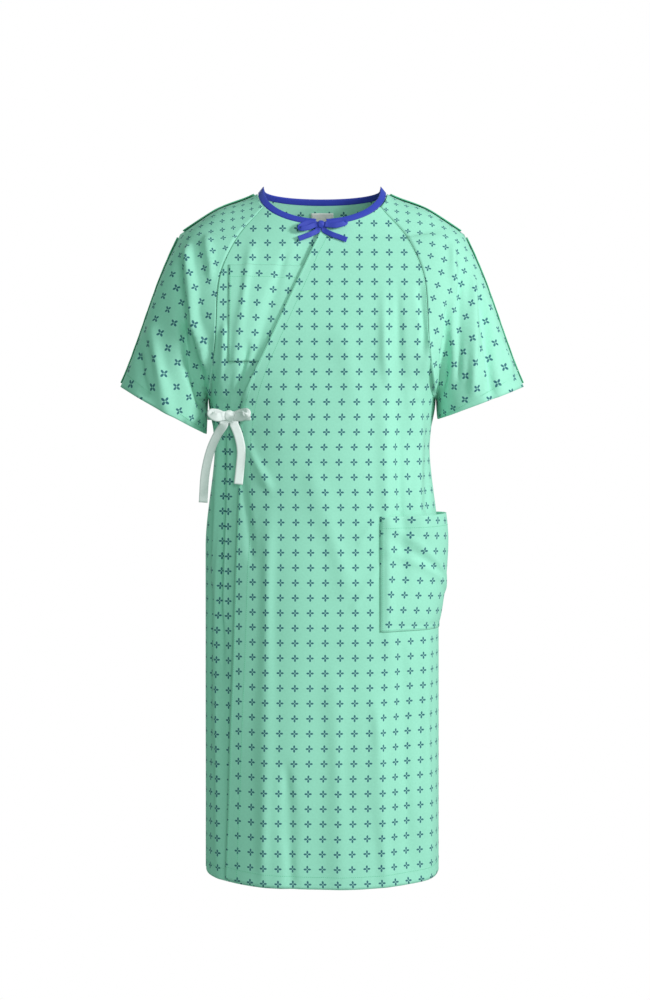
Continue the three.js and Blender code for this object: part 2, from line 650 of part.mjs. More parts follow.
// The two tapes that the waist bow joins: one from the wrap edge, one from the side.
const lie = CLOTH / 2 + TAPE_THICK / 2 + 1.1;
const wrapTie = [[-121, lie], [-128, lie], [-135, lie]].map(([x, off]) => [x, frontY(x, kz) - off, kz]);
tape("wrap_tie", [...wrapTie, [kx + waistRadii[0] + TIE_GAP, ky + 4.4, kz]], TAPE, WHITE);
const sideTie = [[-196.6, -22], [-191.4, -45], [-184, -66], [-175, -85]].map(([x, y]) => [x, y, kz]);
tape("side_tie", [...sideTie, [kx - waistRadii[0] - 2 * TIE_GAP, ky + 4, kz]], TAPE, WHITE);

export default gown;
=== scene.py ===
import math

import bmesh
import bpy
import numpy as np
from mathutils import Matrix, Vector


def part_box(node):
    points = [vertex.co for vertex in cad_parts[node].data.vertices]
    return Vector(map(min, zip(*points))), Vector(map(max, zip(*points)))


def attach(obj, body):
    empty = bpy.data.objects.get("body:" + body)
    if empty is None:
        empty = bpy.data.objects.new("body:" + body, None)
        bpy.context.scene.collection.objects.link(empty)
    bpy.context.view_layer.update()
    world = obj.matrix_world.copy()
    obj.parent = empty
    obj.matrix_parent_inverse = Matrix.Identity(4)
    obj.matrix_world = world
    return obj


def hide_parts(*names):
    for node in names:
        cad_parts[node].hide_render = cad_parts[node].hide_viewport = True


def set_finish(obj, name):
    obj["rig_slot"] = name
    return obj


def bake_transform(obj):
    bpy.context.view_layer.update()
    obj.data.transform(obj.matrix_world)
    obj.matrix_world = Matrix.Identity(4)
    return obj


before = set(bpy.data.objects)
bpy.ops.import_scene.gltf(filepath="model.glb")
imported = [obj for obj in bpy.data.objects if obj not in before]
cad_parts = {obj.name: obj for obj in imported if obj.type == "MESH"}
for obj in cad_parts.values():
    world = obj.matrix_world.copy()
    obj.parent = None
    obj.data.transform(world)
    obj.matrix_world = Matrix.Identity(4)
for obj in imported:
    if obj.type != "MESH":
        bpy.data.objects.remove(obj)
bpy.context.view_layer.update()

MM = 0.001

# ---- sizes of the gown ----
SEAM = 0.8 * MM
LENGTH = 1.190
HEM_LIFT = 0.014
NECK_HALF = 0.101
NECK_DROP = 0.056
BACK_DROP = 0.016
BINDING = 0.010
TIP_X = 0.236
TIP_DROP = 0.088
UNDERARM_X = 0.197
UNDERARM_DROP = 0.364
ARM_DEPTH = 0.100
CUFF_X = 0.350
CUFF_DROP = 0.342
CUFF_IN_X = 0.201
CUFF_IN_DROP = 0.424
CUFF_DEPTH = 0.078
CHEST_DEPTH = 0.128
CHEST_DROP = 0.290
NECK_FRONT = 0.046
NECK_BACK = 0.058
WAIST_HALF = 0.186
WAIST_DROP = 0.440
HIP_HALF = 0.202
HIP_DROP = 0.620
ROUNDNESS = 2.3
SEAM_START = 0.9
SEAM_BOW = 0.172
SEAM_BOW_DROP = 0.150
WRAP_TOP = 0.002
WRAP_WAIST = -0.137
WRAP_WAIST_DROP = 0.365
WRAP_HEM = -0.166
UNDER_EDGE = 0.070
PLEAT = 5.6 * MM
PLEAT_START = 0.048
PLEAT_RUN = 0.042
PLACKET = 0.030
FLAP_END = 0.006
FLAP_LIFT = 3.3 * MM
SLEEVE_FLAT = 0.9 * MM
TAPE = 0.015
NECK_TAPE = 0.009
TAPE_THICK = 0.9 * MM
WAIST_KNOT = (-0.158, -0.392)
NECK_KNOT = (-0.002, -0.066)
THREAD = 0.35 * MM
CLOTH = 0.8 * MM
FLAP_CLOTH = 1.5 * MM
LABEL_CLOTH = 0.5 * MM
KNOT_GAP = 0.4 * MM
MOTIF_PITCH = 0.0254

# Folds, hems and seams, counted in rows or columns of a cloth's grid.
HEM_ROWS = 6
HEM_STITCH_ROW = -5
FACING_COLUMNS = 8
HIP_HEM_ROWS = 7
CHEST_HEM_ROWS = 8

# The camera, the lights and the floor.
CAMERA_PLACE = (0.005, -4.0, -0.36)
LENS = 82.8
SENSOR_HEIGHT = 36
CAMERA_SHIFT = -0.103
LIGHT_AIM = (0.0, 0.0, -0.5)
WORLD_STRENGTH = 0.33
WORLD_COLOUR = (0.66, 1.0, 0.84, 1)
FLOOR_RADIUS = 0.38
FLOOR_Z = -1.52

# The pockets and the label, as x and z on the cloth.
HIP_POCKET_X = 0.097
HIP_POCKET_TURN = -math.radians(24)
HIP_POCKET_TOP, HIP_POCKET_FOOT = -0.562, -0.757
CHEST_POCKET_LEFT, CHEST_POCKET_RIGHT = -0.158, -0.024
CHEST_POCKET_TOP, CHEST_POCKET_FOOT = -0.136, -0.300
LABEL_HALF = 0.020
LABEL_TOP, LABEL_FOOT = -0.034, -0.062

UNDERARM_EASE = 0.016  # the body's outline bends at the underarm; normals are taken across the bend
EASE_REACH = 0.07
EASE_ROUNDS = 160
SHOULDER_RISE = 15 * MM  # how far a worn shoulder fills out above its straight top line
SHOULDER_REACH = 0.085
LEFT_HEM_RISE = 0.026  # the bent left arm lifts the lower side of its sleeve

# Two points on the line between two bodies, the first fixed and the second meant to swing; the script only
# passes them on and makes no bend from them.
WRAP_BEND = ((0.106, -0.13, -0.6), (0.074, -0.13, -0.6))


def lerp(a, b, share):
    return a + (b - a) * share


def smooth(share):
    share = np.clip(share, 0, 1)
    return share * share * (3 - 2 * share)


def bell(share):
    """1 in the middle and nothing beyond 1 on either side."""
    return np.exp(-2.5 * share * share)


def spline(points, steps=24):
    """A smooth curve through the points."""
    p = np.array(points, float)
    p = np.vstack([2 * p[0] - p[1], p, 2 * p[-1] - p[-2]])
    curve = []
    for a, b, c, d in zip(p, p[1:], p[2:], p[3:]):
        t1 = np.linalg.norm(b - a) ** 0.5
        t2 = t1 + np.linalg.norm(c - b) ** 0.5
        t3 = t2 + np.linalg.norm(d - c) ** 0.5
        t = np.linspace(t1, t2, steps, endpoint=False)[:, None]
        ab = lerp(a, b, t / t1)
        bc = lerp(b, c, (t - t1) / (t2 - t1))
        cd = lerp(c, d, (t - t2) / (t3 - t2))
        abc = lerp(ab, bc, t / t2)
        bcd = lerp(bc, cd, (t - t1) / (t3 - t1))
        curve.append(lerp(abc, bcd, (t - t1) / (t2 - t1)))
    return np.vstack([*curve, p[-2:-1]])


# ---- outline of the body ----
RIDGE_SLOPE = TIP_DROP / (TIP_X - NECK_HALF)
ARM_Z = -(TIP_DROP + UNDERARM_DROP) / 2
ARM_HALF = (UNDERARM_DROP - TIP_DROP) / 2
NECK_LOW = NECK_HALF + BINDING
NECK_TOP = -BINDING * RIDGE_SLOPE
NECK_RUN = NECK_DROP + BINDING + NECK_TOP
NECK_FOOT = NECK_TOP - NECK_RUN - SEAM


def ridge_z(x):
    return -(x - NECK_HALF) * RIDGE_SLOPE


def half_width(z):
    arm = lerp(TIP_X, UNDERARM_X, (-TIP_DROP - z) / (UNDERARM_DROP - TIP_DROP))
    waist = lerp(UNDERARM_X, WAIST_HALF, smooth((-UNDERARM_DROP - z) / (WAIST_DROP - UNDERARM_DROP)))
    hip = lerp(WAIST_HALF, HIP_HALF, smooth((-WAIST_DROP - z) / (HIP_DROP - WAIST_DROP)))
    levels = [z > -TIP_DROP, z > -UNDERARM_DROP, z > -WAIST_DROP]
    return np.select(levels, [NECK_HALF - z / RIDGE_SLOPE, arm, waist], hip)


def edge_depth(z):
    return ARM_DEPTH * np.sqrt(np.clip(1 - ((z - ARM_Z) / ARM_HALF) ** 2, 0, 1))


def mid_depth(z, front):
    fall = 1 - (1 - np.clip(-z / CHEST_DROP, 0, 1)) ** 2
    return lerp(np.where(front, NECK_FRONT, NECK_BACK), CHEST_DEPTH, fall)


def body_point(turn, z):
    """turn 0 is the wearer's left side, a quarter the front, a half the right side."""
    turn, z = np.broadcast_arrays(np.asarray(turn, float), np.asarray(z, float))
    c, s = np.cos(turn), np.sin(turn)
    edge = edge_depth(z)
    depth = edge + (mid_depth(z, s >= 0) - edge) * np.abs(s) ** (2 / ROUNDNESS)
    x = half_width(z) * np.sign(c) * np.abs(c) ** (2 / ROUNDNESS)
    return np.stack([x, np.where(s >= 0, -depth, depth), z], -1)


def turn_at(x, z, front=True):
    share = np.clip(x / half_width(z), -1, 1)
    turn = np.arccos(np.sign(share) * np.abs(share) ** (ROUNDNESS / 2))
    return turn if front else -turn


def hem_z(x):
    return -LENGTH + HEM_LIFT * (x / HIP_HALF) ** 2


def neck_x(z):
    return NECK_LOW * np.sqrt(np.clip(1 - ((NECK_TOP - z) / NECK_RUN) ** 2, 0, 1)) + SEAM


def back_neck_z(x):
    return NECK_TOP - BACK_DROP * np.sqrt(np.clip(1 - (x / NECK_LOW) ** 2, 0, 1)) - SEAM


SLEEVE_SLOPE = (CUFF_DROP - TIP_DROP) / (CUFF_X - TIP_X)
SEAM_TOP_X = NECK_LOW * SEAM_START
SEAM_TOP_Z = NECK_TOP - NECK_RUN * math.sqrt(1 - SEAM_START**2) - SEAM
seam_line = spline([
    (SEAM_TOP_X, SEAM_TOP_Z),
    (lerp(SEAM_TOP_X, SEAM_BOW, 0.6), -SEAM_BOW_DROP * 0.58),
    (SEAM_BOW, -SEAM_BOW_DROP),
    (lerp(SEAM_BOW, UNDERARM_X, 0.4), lerp(-SEAM_BOW_DROP, -UNDERARM_DROP, 0.6)),
    (UNDERARM_X, -UNDERARM_DROP),
])


def seam_x(z):
    """The raglan seam, as x over z."""
    return np.minimum(np.interp(-z, -seam_line[:, 1], seam_line[:, 0]), half_width(z))


def wrap_x(z):
    run = (-z - NECK_DROP - BINDING) / (WRAP_WAIST_DROP - NECK_DROP - BINDING)
    low = (-z - WRAP_WAIST_DROP) / (LENGTH - WRAP_WAIST_DROP)
    upper = lerp(WRAP_TOP, WRAP_WAIST, np.clip(run, 0, 1))
    return np.where(z > -WRAP_WAIST_DROP, upper, lerp(WRAP_WAIST, WRAP_HEM, low))


def under_x(z):
    run = (-z - NECK_DROP - BINDING) / (WRAP_WAIST_DROP - NECK_DROP - BINDING)
    return UNDER_EDGE * np.clip(run, 0, 1)


# ---- how the cloth falls ----
# Each fold: x and z of its top, x and z of its foot, half width, height. Below nothing is a hollow.
FRONT_FOLDS = [
    (0.184, -0.250, 0.152, -0.416, 0.009, 6.0),
    (0.166, -0.170, 0.176, -0.300, 0.010, -4.0),
    (0.104, -0.200, 0.112, -0.800, 0.016, 5.2),
    (0.128, -0.190, 0.136, -0.700, 0.013, -4.0),
    (0.168, -0.330, 0.160, -0.620, 0.016, 5.8),
    (0.186, -0.380, 0.178, -0.560, 0.012, -4.6),
    (-0.150, -0.400, -0.085, -0.520, 0.010, 4.1),
    (-0.140, -0.385, -0.060, -0.430, 0.009, 3.4),
    (-0.130, -0.372, -0.050, -0.345, 0.009, 3.2),
    (-0.146, -0.410, -0.118, -0.640, 0.011, -3.2),
    (-0.090, -0.560, -0.100, -1.190, 0.018, 4.6),
    (-0.060, -0.980, -0.052, -1.195, 0.017, -4.8),
    (0.020, -0.820, 0.030, -1.195, 0.024, 3.9),
    (0.092, -0.880, 0.108, -1.195, 0.020, 5.3),
    (0.136, -0.780, 0.150, -1.195, 0.018, -4.6),
    (-0.020, -0.480, 0.050, -0.700, 0.026, 3.0),
    (0.030, -0.240, 0.070, -0.420, 0.030, 2.8),
    (0.176, -0.740, 0.180, -1.190, 0.014, 4.6),
    (0.094, -0.562, 0.060, -0.610, 0.009, 2.3),
    (0.100, -0.640, 0.050, -0.720, 0.012, 2.1),
]
UNDER_FOLDS = [
    (-0.095, -0.330, -0.140, -0.392, 0.008, 5.0),
    (-0.125, -0.270, -0.150, -0.392, 0.007, -6.0),
    (-0.176, -0.405, -0.190, -0.700, 0.007, 6.4),
    (-0.168, -0.402, -0.176, -0.860, 0.007, -7.2),
    (-0.160, -0.400, -0.168, -0.760, 0.006, 5.4),
    (-0.186, -0.430, -0.196, -1.000, 0.008, -5.8),
    (-0.178, -0.620, -0.180, -1.190, 0.009, 6.4),
    (-0.120, -0.100, -0.150, -0.320, 0.012, 3.8),
    (-0.060, -0.110, -0.125, -0.330, 0.014, -3.2),
    (-0.165, -0.240, -0.172, -0.385, 0.009, 6.4),
    (-0.150, -0.300, -0.160, -0.385, 0.008, -4.8),
]
BACK_FOLDS = [
    (0.000, -0.180, 0.010, -1.190, 0.026, 3.6),
    (0.070, -0.260, 0.085, -1.190, 0.024, -4.5),
    (-0.075, -0.240, -0.080, -1.190, 0.024, -4.5),
    (0.130, -0.300, 0.140, -1.190, 0.020, 5.0),
    (-0.135, -0.320, -0.140, -1.190, 0.020, 5.0),
    (-0.150, -0.395, -0.060, -0.470, 0.016, 3.0),
    (0.150, -0.395, 0.070, -0.480, 0.016, 2.6),
]


def fold_field(folds, x, z):
    total = np.zeros(np.broadcast(x, z).shape)
    for top_x, top_z, foot_x, foot_z, width, height in folds:
        along = ((x - top_x) * (foot_x - top_x) + (z - top_z) * (foot_z - top_z))
        run = math.hypot(foot_x - top_x, foot_z - top_z)
        share = along / run**2
        side = ((x - top_x) * (foot_z - top_z) - (z - top_z) * (foot_x - top_x)) / run
        fade = smooth(share / 0.25 + 0.4) * smooth((1.06 - share) / 0.2)
        wander = 1 + 0.25 * np.sin(9 * share + 40 * top_x)
        total += height * MM * fade * bell(side / (width * wander))
    return total


def drape(point, front, under=False):
    """How far the cloth stands off the body's oval at a point."""
    x, z = point[..., 0], point[..., 2]
    low = smooth((-z - 0.45) / 0.6)
    flute = np.sin(46 * x + 3 * np.sin(2.3 * z) + (0.4 if front else 2.1))
    ripple = np.sin(17 * x + 11 * z) * np.sin(13 * z - 9 * x + 1.3)
    total = 1.9 * MM * low * flute + 1.1 * MM * ripple * smooth((-z - 0.08) / 0.1)
    total = total + fold_field(FRONT_FOLDS if front else BACK_FOLDS, x, z)
    if under:
        total = total + fold_field(UNDER_FOLDS, x, z)
    side = smooth((half_width(z) - np.abs(x)) / 0.012)
    neck = smooth((-z - 0.030) / 0.05)
    return total * side * neck


def top_line(x):
    """Height of the shoulder's and the sleeve's straight top line."""
    x = np.abs(x)
    return np.where(x < TIP_X, ridge_z(x), -TIP_DROP - (x - TIP_X) * SLEEVE_SLOPE)


def rounded(points):
    """Fills out the shoulders: cloth near the top line stands up and out in a soft curve."""
    x = points[..., 0]
    across = np.abs(x)
    near = smooth(1 - (top_line(x) - points[..., 2]) / SHOULDER_REACH)
    high = SHOULDER_RISE * smooth((across - NECK_LOW) / 0.075) * smooth((CUFF_X - across) / 0.10) * near
    lean = lerp(0.35, 1.0, smooth((across - 0.16) / 0.12))
    push = np.stack([np.sign(x) * np.sin(lean), np.zeros_like(x), np.cos(lean)], -1)
    return points + push * high[..., None]


def on_cloth(turn, z, front=True, lift=0.0, under=False, folds=1.0):
    """Points and outward normals on the body's cloth."""
    point = body_point(turn, z)
    eps = 1e-4
    across = body_point(turn + eps, z) - body_point(turn - eps, z)
    reach = eps + UNDERARM_EASE * bell((z + UNDERARM_DROP) / (2 * UNDERARM_EASE))
    up = body_point(turn, z + reach) - body_point(turn, z - reach)
    normal = np.cross(across, up)
    normal /= np.linalg.norm(normal, axis=-1, keepdims=True) + 1e-12
    out = np.sum(normal[..., :2] * point[..., :2], -1, keepdims=True)
    normal = np.where(out < 0, -normal, normal)
    stand = folds * drape(point, front, under) + lift
    if under:
        stand = stand - PLEAT * smooth((point[..., 0] - wrap_x(point[..., 2]) + PLEAT_START) / PLEAT_RUN)
    return rounded(point + normal * np.asarray(stand)[..., None]), normal


# Distance round the body from the middle of the front, and down it, for the print on the pockets.
arc_levels = np.linspace(-1.25, 0, 126)
arc_turns = np.linspace(0, 2 * math.pi, 361)
MIDDLE_COLUMN = 90
arc_points = body_point(arc_turns[None, :], arc_levels[:, None])
arc_steps = np.linalg.norm(np.diff(arc_points, axis=1), axis=-1)
arc_table = np.concatenate([np.zeros((len(arc_levels), 1)), np.cumsum(arc_steps, 1)], 1)
fall_steps = np.hypot(np.diff(arc_levels), np.diff(mid_depth(arc_levels, True)))
fall_table = np.concatenate([[0], np.cumsum(fall_steps)])


def print_at(turn, z):
    turn, z = np.broadcast_arrays(turn, z)
    row = np.interp(z, arc_levels, np.arange(len(arc_levels)))
    column = (turn % (2 * math.pi)) * 180 / math.pi
    r = np.clip(row.astype(int), 0, len(arc_levels) - 2)
    c = np.clip(column.astype(int), 0, 359)

    def at(i):
        return lerp(arc_table[i, c], arc_table[i, c + 1], column - c) - arc_table[i, MIDDLE_COLUMN]

    turns_before = np.floor(turn / (2 * math.pi))
    round_it = -lerp(at(r), at(r + 1), row - r) - turns_before * arc_table[r, -1]
    return np.stack([round_it, np.interp(z, arc_levels, fall_table) - fall_table[-1]], -1)


def eased(points):
    """Rounds off the crease at the underarm's level, without moving cloth up or down; its edges stay."""
    points = points.copy()
    weight = 0.8 * bell((points[1:-1, 1:-1, 2] + UNDERARM_DROP) / EASE_REACH)[..., None]
    for _ in range(EASE_ROUNDS):
        around = (points[:-2, 1:-1, :2] + points[2:, 1:-1, :2]) / 2
        points[1:-1, 1:-1, :2] = lerp(points[1:-1, 1:-1, :2], around, weight)
    return points


# ---- mesh helpers ----
def linked(name, data):
    made = bpy.data.objects.new(name, data)
    bpy.context.scene.collection.objects.link(made)
    return made


def new_object(name, points, faces, material, slot_name):
    mesh = bpy.data.meshes.new(name)
    mesh.from_pydata([tuple(p) for p in points], [], faces)
    mesh.materials.append(material)
    mesh.validate()
    mesh.shade_smooth()
    made = linked(name, mesh)
    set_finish(made, slot_name)
    return made


def grid_faces(rows, columns, start=0, closed=False):
    faces = []
    for j in range(rows - 1):
        for i in range(columns if closed else columns - 1):
            a, b = start + j * columns + i, start + j * columns + (i + 1) % columns
            faces.append((a, b, b + columns, a + columns))
    return faces


def tube_faces(rows, columns):
    """A closed grid with a flat face at each end."""
    faces = grid_faces(rows, columns, closed=True)
    faces.append(tuple(range(columns))[::-1])
    faces.append(tuple(range((rows - 1) * columns, rows * columns)))
    return faces


def outward_faces(made, join=0.0):
    """Turns all faces outward, after joining any vertices that lie within a distance of each other."""
    shape = bmesh.new()
    shape.from_mesh(made.data)
    if join:
        bmesh.ops.remove_doubles(shape, verts=shape.verts, dist=join)
    bmesh.ops.recalc_face_normals(shape, faces=shape.faces)
    shape.to_mesh(made.data)
    shape.free()


def face_out(made, outward):
    """Turns a sheet's faces to the side that most of its outward normals point to."""
    mesh = made.data
    total = 0.0
    for face in mesh.polygons:
        total += float(np.dot(face.normal, outward[face.vertices[0]])) * face.area
    if total < 0:
        mesh.flip_normals()


def pairs(a, b):
    return np.stack(np.broadcast_arrays(a, b), -1).reshape(-1, 2)


def running_length(path):
    steps = np.linalg.norm(np.diff(path, axis=0), axis=1)
    return np.concatenate([[0], np.cumsum(steps)])


def set_print(made, coordinates):
    layer = made.data.uv_layers.new(name="print")
    loops = np.empty(len(made.data.loops), dtype=np.int64)
    made.data.loops.foreach_get("vertex_index", loops)
    layer.data.foreach_set("uv", np.asarray(coordinates)[loops].astype(np.float32).ravel())


def thicken(made, thickness=CLOTH):
    solid = made.modifiers.new("cloth thickness", "SOLIDIFY")
    solid.thickness = thickness
    solid.offset = 0
    solid.use_rim = True
    return made


def cloth(name, points, normals, coordinates, material, layers=()):
    """A cloth made of a grid, with any turned-in layers as more grids in the same piece."""
    vertices, outward, prints, faces = [], [], [], []
    for p, n, c in [(points, normals, coordinates), *layers]:
        rows, columns = p.shape[:2]
        faces += grid_faces(rows, columns, sum(len(v) for v in vertices))
        vertices.append(p.reshape(-1, 3))
        outward.append(n.reshape(-1, 3))
        prints.append(c.reshape(-1, 2))
    made = new_object(name, np.vstack(vertices), faces, material, "printed_cloth")
    face_out(made, np.vstack(outward))
    set_print(made, np.vstack(prints))
    return thicken(made)


def turned_in(points, normals, coordinates, depth=1.1 * MM):
    """A hem's inner layer: it follows the outer one, a little inside it."""
    return points - normals * depth, normals, coordinates + 0.5


# ---- materials ----
def put(tree, kind, settings=None, **inputs):
    node = tree.nodes.new(kind)
    for key, value in (settings or {}).items():
        setattr(node, key, value)
    for key, value in inputs.items():
        numbered = key[0] == "i" and key[1:].isdigit()
        socket = node.inputs[int(key[1:]) if numbered else key.replace("_", " ")]
        if isinstance(value, bpy.types.NodeSocket):
            tree.links.new(value, socket)
        else:
            socket.default_value = value
    return node


def calc(tree, operation, a, b=0.0, c=0.0):
    return put(tree, "ShaderNodeMath", {"operation": operation}, i0=a, i1=b, i2=c).outputs[0]


def distance(tree, a, b):
    squares = [calc(tree, "POWER", side, 2.0) for side in (a, b)]
    return calc(tree, "SQRT", calc(tree, "ADD", *squares))


def group(name, ins, outs, kind="ShaderNodeTree"):
    tree = bpy.data.node_groups.new(name, kind)
    for label, socket_kind, value in ins:
        socket = tree.interface.new_socket(label, in_out="INPUT", socket_type=socket_kind)
        if value is not None:
            socket.default_value = value
    for label, socket_kind in outs:
        tree.interface.new_socket(label, in_out="OUTPUT", socket_type=socket_kind)
    return tree, tree.nodes.new("NodeGroupInput").outputs, tree.nodes.new("NodeGroupOutput").inputs


def weave_group():
    """Plain weave: the height of crossing threads, and the tone of single threads."""
    ins = [("Pattern", "NodeSocketVector", None), ("Threads", "NodeSocketFloat", 2400.0)]
    tree, given, out = group("plain_weave", ins, [("Height", "NodeSocketFloat"), ("Tone", "NodeSocketFloat")])
    scaled = put(tree, "ShaderNodeVectorMath", {"operation": "SCALE"}, i0=given["Pattern"],
                 Scale=given["Threads"])
    parts = put(tree, "ShaderNodeSeparateXYZ", i0=scaled.outputs[0]).outputs
    crossing = calc(tree, "MULTIPLY", calc(tree, "SINE", parts[0]), calc(tree, "SINE", parts[1]))
    fine = put(tree, "ShaderNodeTexNoise", Vector=given["Pattern"], Scale=900.0, Detail=2.0)
    slub = put(tree, "ShaderNodeTexNoise", Vector=given["Pattern"], Scale=260.0, Detail=1.0)
    tree.links.new(calc(tree, "MULTIPLY_ADD", crossing, 0.5, fine.outputs[0]), out["Height"])
    tone = calc(tree, "MULTIPLY_ADD", slub.outputs[0], 0.5, calc(tree, "MULTIPLY", fine.outputs[0], 0.5))
    tree.links.new(tone, out["Tone"])
    return tree


def motif_group():
    """The printed motif: four short strokes in a cross, with four light dots between them."""
    ins = [("Pattern", "NodeSocketVector", None), ("Pitch", "NodeSocketFloat", MOTIF_PITCH)]
    tree, given, out = group("motif", ins, [("Stroke", "NodeSocketFloat"), ("Dot", "NodeSocketFloat")])
    cells = put(tree, "ShaderNodeVectorMath", {"operation": "SCALE"}, i0=given["Pattern"],
                Scale=calc(tree, "DIVIDE", 1.0, given["Pitch"]))
    within = put(tree, "ShaderNodeVectorMath", {"operation": "FRACTION"}, i0=cells.outputs[0])
    centred = put(tree, "ShaderNodeVectorMath", {"operation": "SUBTRACT"}, i0=within.outputs[0],
                  i1=(0.5, 0.5, 0.0))
    parts = put(tree, "ShaderNodeSeparateXYZ", i0=centred.outputs[0]).outputs
    x, y = calc(tree, "ABSOLUTE", parts[0]), calc(tree, "ABSOLUTE", parts[1])
    far, near = calc(tree, "MAXIMUM", x, y), calc(tree, "MINIMUM", x, y)
    along = calc(tree, "DIVIDE", calc(tree, "SUBTRACT", far, 0.136), 0.106)
    aside = calc(tree, "DIVIDE", near, 0.066)
    reach = distance(tree, along, aside)
    stroke = put(tree, "ShaderNodeMapRange", {"interpolation_type": "SMOOTHSTEP"}, i0=reach, i1=1.12, i2=0.88)
    tree.links.new(stroke.outputs[0], out["Stroke"])
    away = distance(tree, calc(tree, "SUBTRACT", x, 0.098), calc(tree, "SUBTRACT", y, 0.098))
    dot = put(tree, "ShaderNodeMapRange", {"interpolation_type": "SMOOTHSTEP"}, i0=away, i1=0.056, i2=0.040)
    tree.links.new(dot.outputs[0], out["Dot"])
    return tree


def softness_group():
    """Slow changes of tone from washing and handling, in the object's own place."""
    ins = [("Amount", "NodeSocketFloat", 0.08)]
    tree, given, out = group("washed_tone", ins, [("Factor", "NodeSocketFloat")])
    place = put(tree, "ShaderNodeTexCoord").outputs["Object"]
    wide = put(tree, "ShaderNodeTexNoise", Vector=place, Scale=7.0, Detail=3.0)
    spread = calc(tree, "MULTIPLY", calc(tree, "SUBTRACT", wide.outputs[0], 0.5), given["Amount"])
    tree.links.new(calc(tree, "ADD", 1.0, spread), out["Factor"])
    return tree


weave = weave_group()
motif = motif_group()
washed = softness_group()


def start_material(name, roughness, sheen=0.0, metallic=0.0):
    made = bpy.data.materials.new(name)
    made.use_nodes = True
    tree = made.node_tree
    shader = tree.nodes["Principled BSDF"]
    shader.inputs["Roughness"].default_value = roughness
    shader.inputs["Metallic"].default_value = metallic
    shader.inputs["Sheen Weight"].default_value = sheen
    return made, tree, shader


def cloth_base(tree, colour, amount, pattern, threads, depth):
    """Colour with slow and fine variation, and the weave's height into the normal."""
    threads_node = put(tree, "ShaderNodeGroup", {"node_tree": weave}, Pattern=pattern, Threads=threads)
    slow = put(tree, "ShaderNodeGroup", {"node_tree": washed}, Amount=amount).outputs[0]
    fine = calc(tree, "MULTIPLY_ADD", threads_node.outputs["Tone"], 0.22, 0.89)
    tone = calc(tree, "MULTIPLY", slow, fine)
    base = put(tree, "ShaderNodeVectorMath", {"operation": "SCALE"}, i0=colour, Scale=tone).outputs[0]
    bump = put(tree, "ShaderNodeBump", Height=threads_node.outputs["Height"], Distance=depth, Strength=0.35)
    tree.links.new(bump.outputs[0], tree.nodes["Principled BSDF"].inputs["Normal"])
    return base, threads_node


def printed(name, colour, turn=0.0):
    made, tree, shader = start_material(name, 0.82, sheen=0.08)
    pattern = put(tree, "ShaderNodeUVMap", {"uv_map": "print"}).outputs[0]
    pattern = put(tree, "ShaderNodeMapping", Vector=pattern, Rotation=(0.0, 0.0, turn)).outputs[0]
    base, threads_node = cloth_base(tree, colour, 0.09, pattern, 5200.0, 0.0002)
    marks = put(tree, "ShaderNodeGroup", {"node_tree": motif}, Pattern=pattern)
    ragged = calc(tree, "MULTIPLY_ADD", threads_node.outputs["Tone"], 0.5, 0.66)
    stroke = calc(tree, "MULTIPLY", marks.outputs["Stroke"], calc(tree, "MINIMUM", ragged, 1.0))
    dot = calc(tree, "MULTIPLY", marks.outputs["Dot"], 0.55)
    mix = {"data_type": "RGBA"}
    lit = put(tree, "ShaderNodeMix", mix, i0=dot, i6=base, i7=DOT_COLOUR).outputs[2]
    inked = put(tree, "ShaderNodeMix", mix, i0=stroke, i6=lit, i7=STROKE_COLOUR).outputs[2]
    tree.links.new(inked, shader.inputs["Base Color"])
    return made


def plain_cloth(name, colour, threads, roughness=0.75, sheen=0.1, amount=0.12, depth=0.0004, laid=True):
    made, tree, shader = start_material(name, roughness, sheen)
    if laid:
        pattern = put(tree, "ShaderNodeUVMap", {"uv_map": "print"}).outputs[0]
    else:
        pattern = put(tree, "ShaderNodeTexCoord").outputs["Object"]
    base, _ = cloth_base(tree, colour, amount, pattern, threads, depth)
    tree.links.new(base, shader.inputs["Base Color"])
    return made


def metal(name):
    made, tree, shader = start_material(name, 0.3, metallic=1.0)
    place = put(tree, "ShaderNodeTexCoord").outputs["Object"]
    scratch = put(tree, "ShaderNodeTexNoise", Vector=place, Scale=1400.0, Detail=3.0)
    rough = put(tree, "ShaderNodeMapRange", i0=scratch.outputs[0], i1=0.3, i2=0.7, i3=0.22, i4=0.42)
    tree.links.new(rough.outputs[0], shader.inputs["Roughness"])
    tone = put(tree, "ShaderNodeValToRGB", Fac=scratch.outputs[0])
    tone.color_ramp.elements[0].color = (0.50, 0.51, 0.52, 1)
    tone.color_ramp.elements[1].color = (0.72, 0.73, 0.74, 1)
    tree.links.new(tone.outputs[0], shader.inputs["Base Color"])
    return made


STROKE_COLOUR = (0.0, 0.095, 0.150, 1.0)
DOT_COLOUR = (0.46, 0.84, 0.78, 1.0)
GREEN = (0.350, 0.775, 0.605)
# Darker copy of the print's green for the placket flaps: painted shade, standing in for the shade on their
# upward-facing strips.
PAINTED_SHADE_GREEN = (0.105, 0.520, 0.310)
green = printed("printed_green", GREEN)
sleeve_green = printed("printed_green_sleeve", GREEN)
pocket_green = printed("printed_green_pocket", GREEN, math.radians(4))
flap_painted_shade_green = printed("printed_green_flap_painted_shade", PAINTED_SHADE_GREEN)
blue = plain_cloth("blue_binding", (0.028, 0.048, 0.480), 3000.0, roughness=0.6, sheen=0.15)
white = plain_cloth("white_twill_tape", (0.86, 0.88, 0.88), 2600.0)
label_white = plain_cloth("label_satin", (0.84, 0.84, 0.83), 4200.0, roughness=0.45)
green_thread = plain_cloth("green_thread", (0.135, 0.560, 0.340), 9000.0, depth=0.0001, laid=False)
blue_thread = plain_cloth("blue_thread", (0.020, 0.035, 0.360), 9000.0, depth=0.0001, laid=False)
snap_metal = metal("snap_metal")


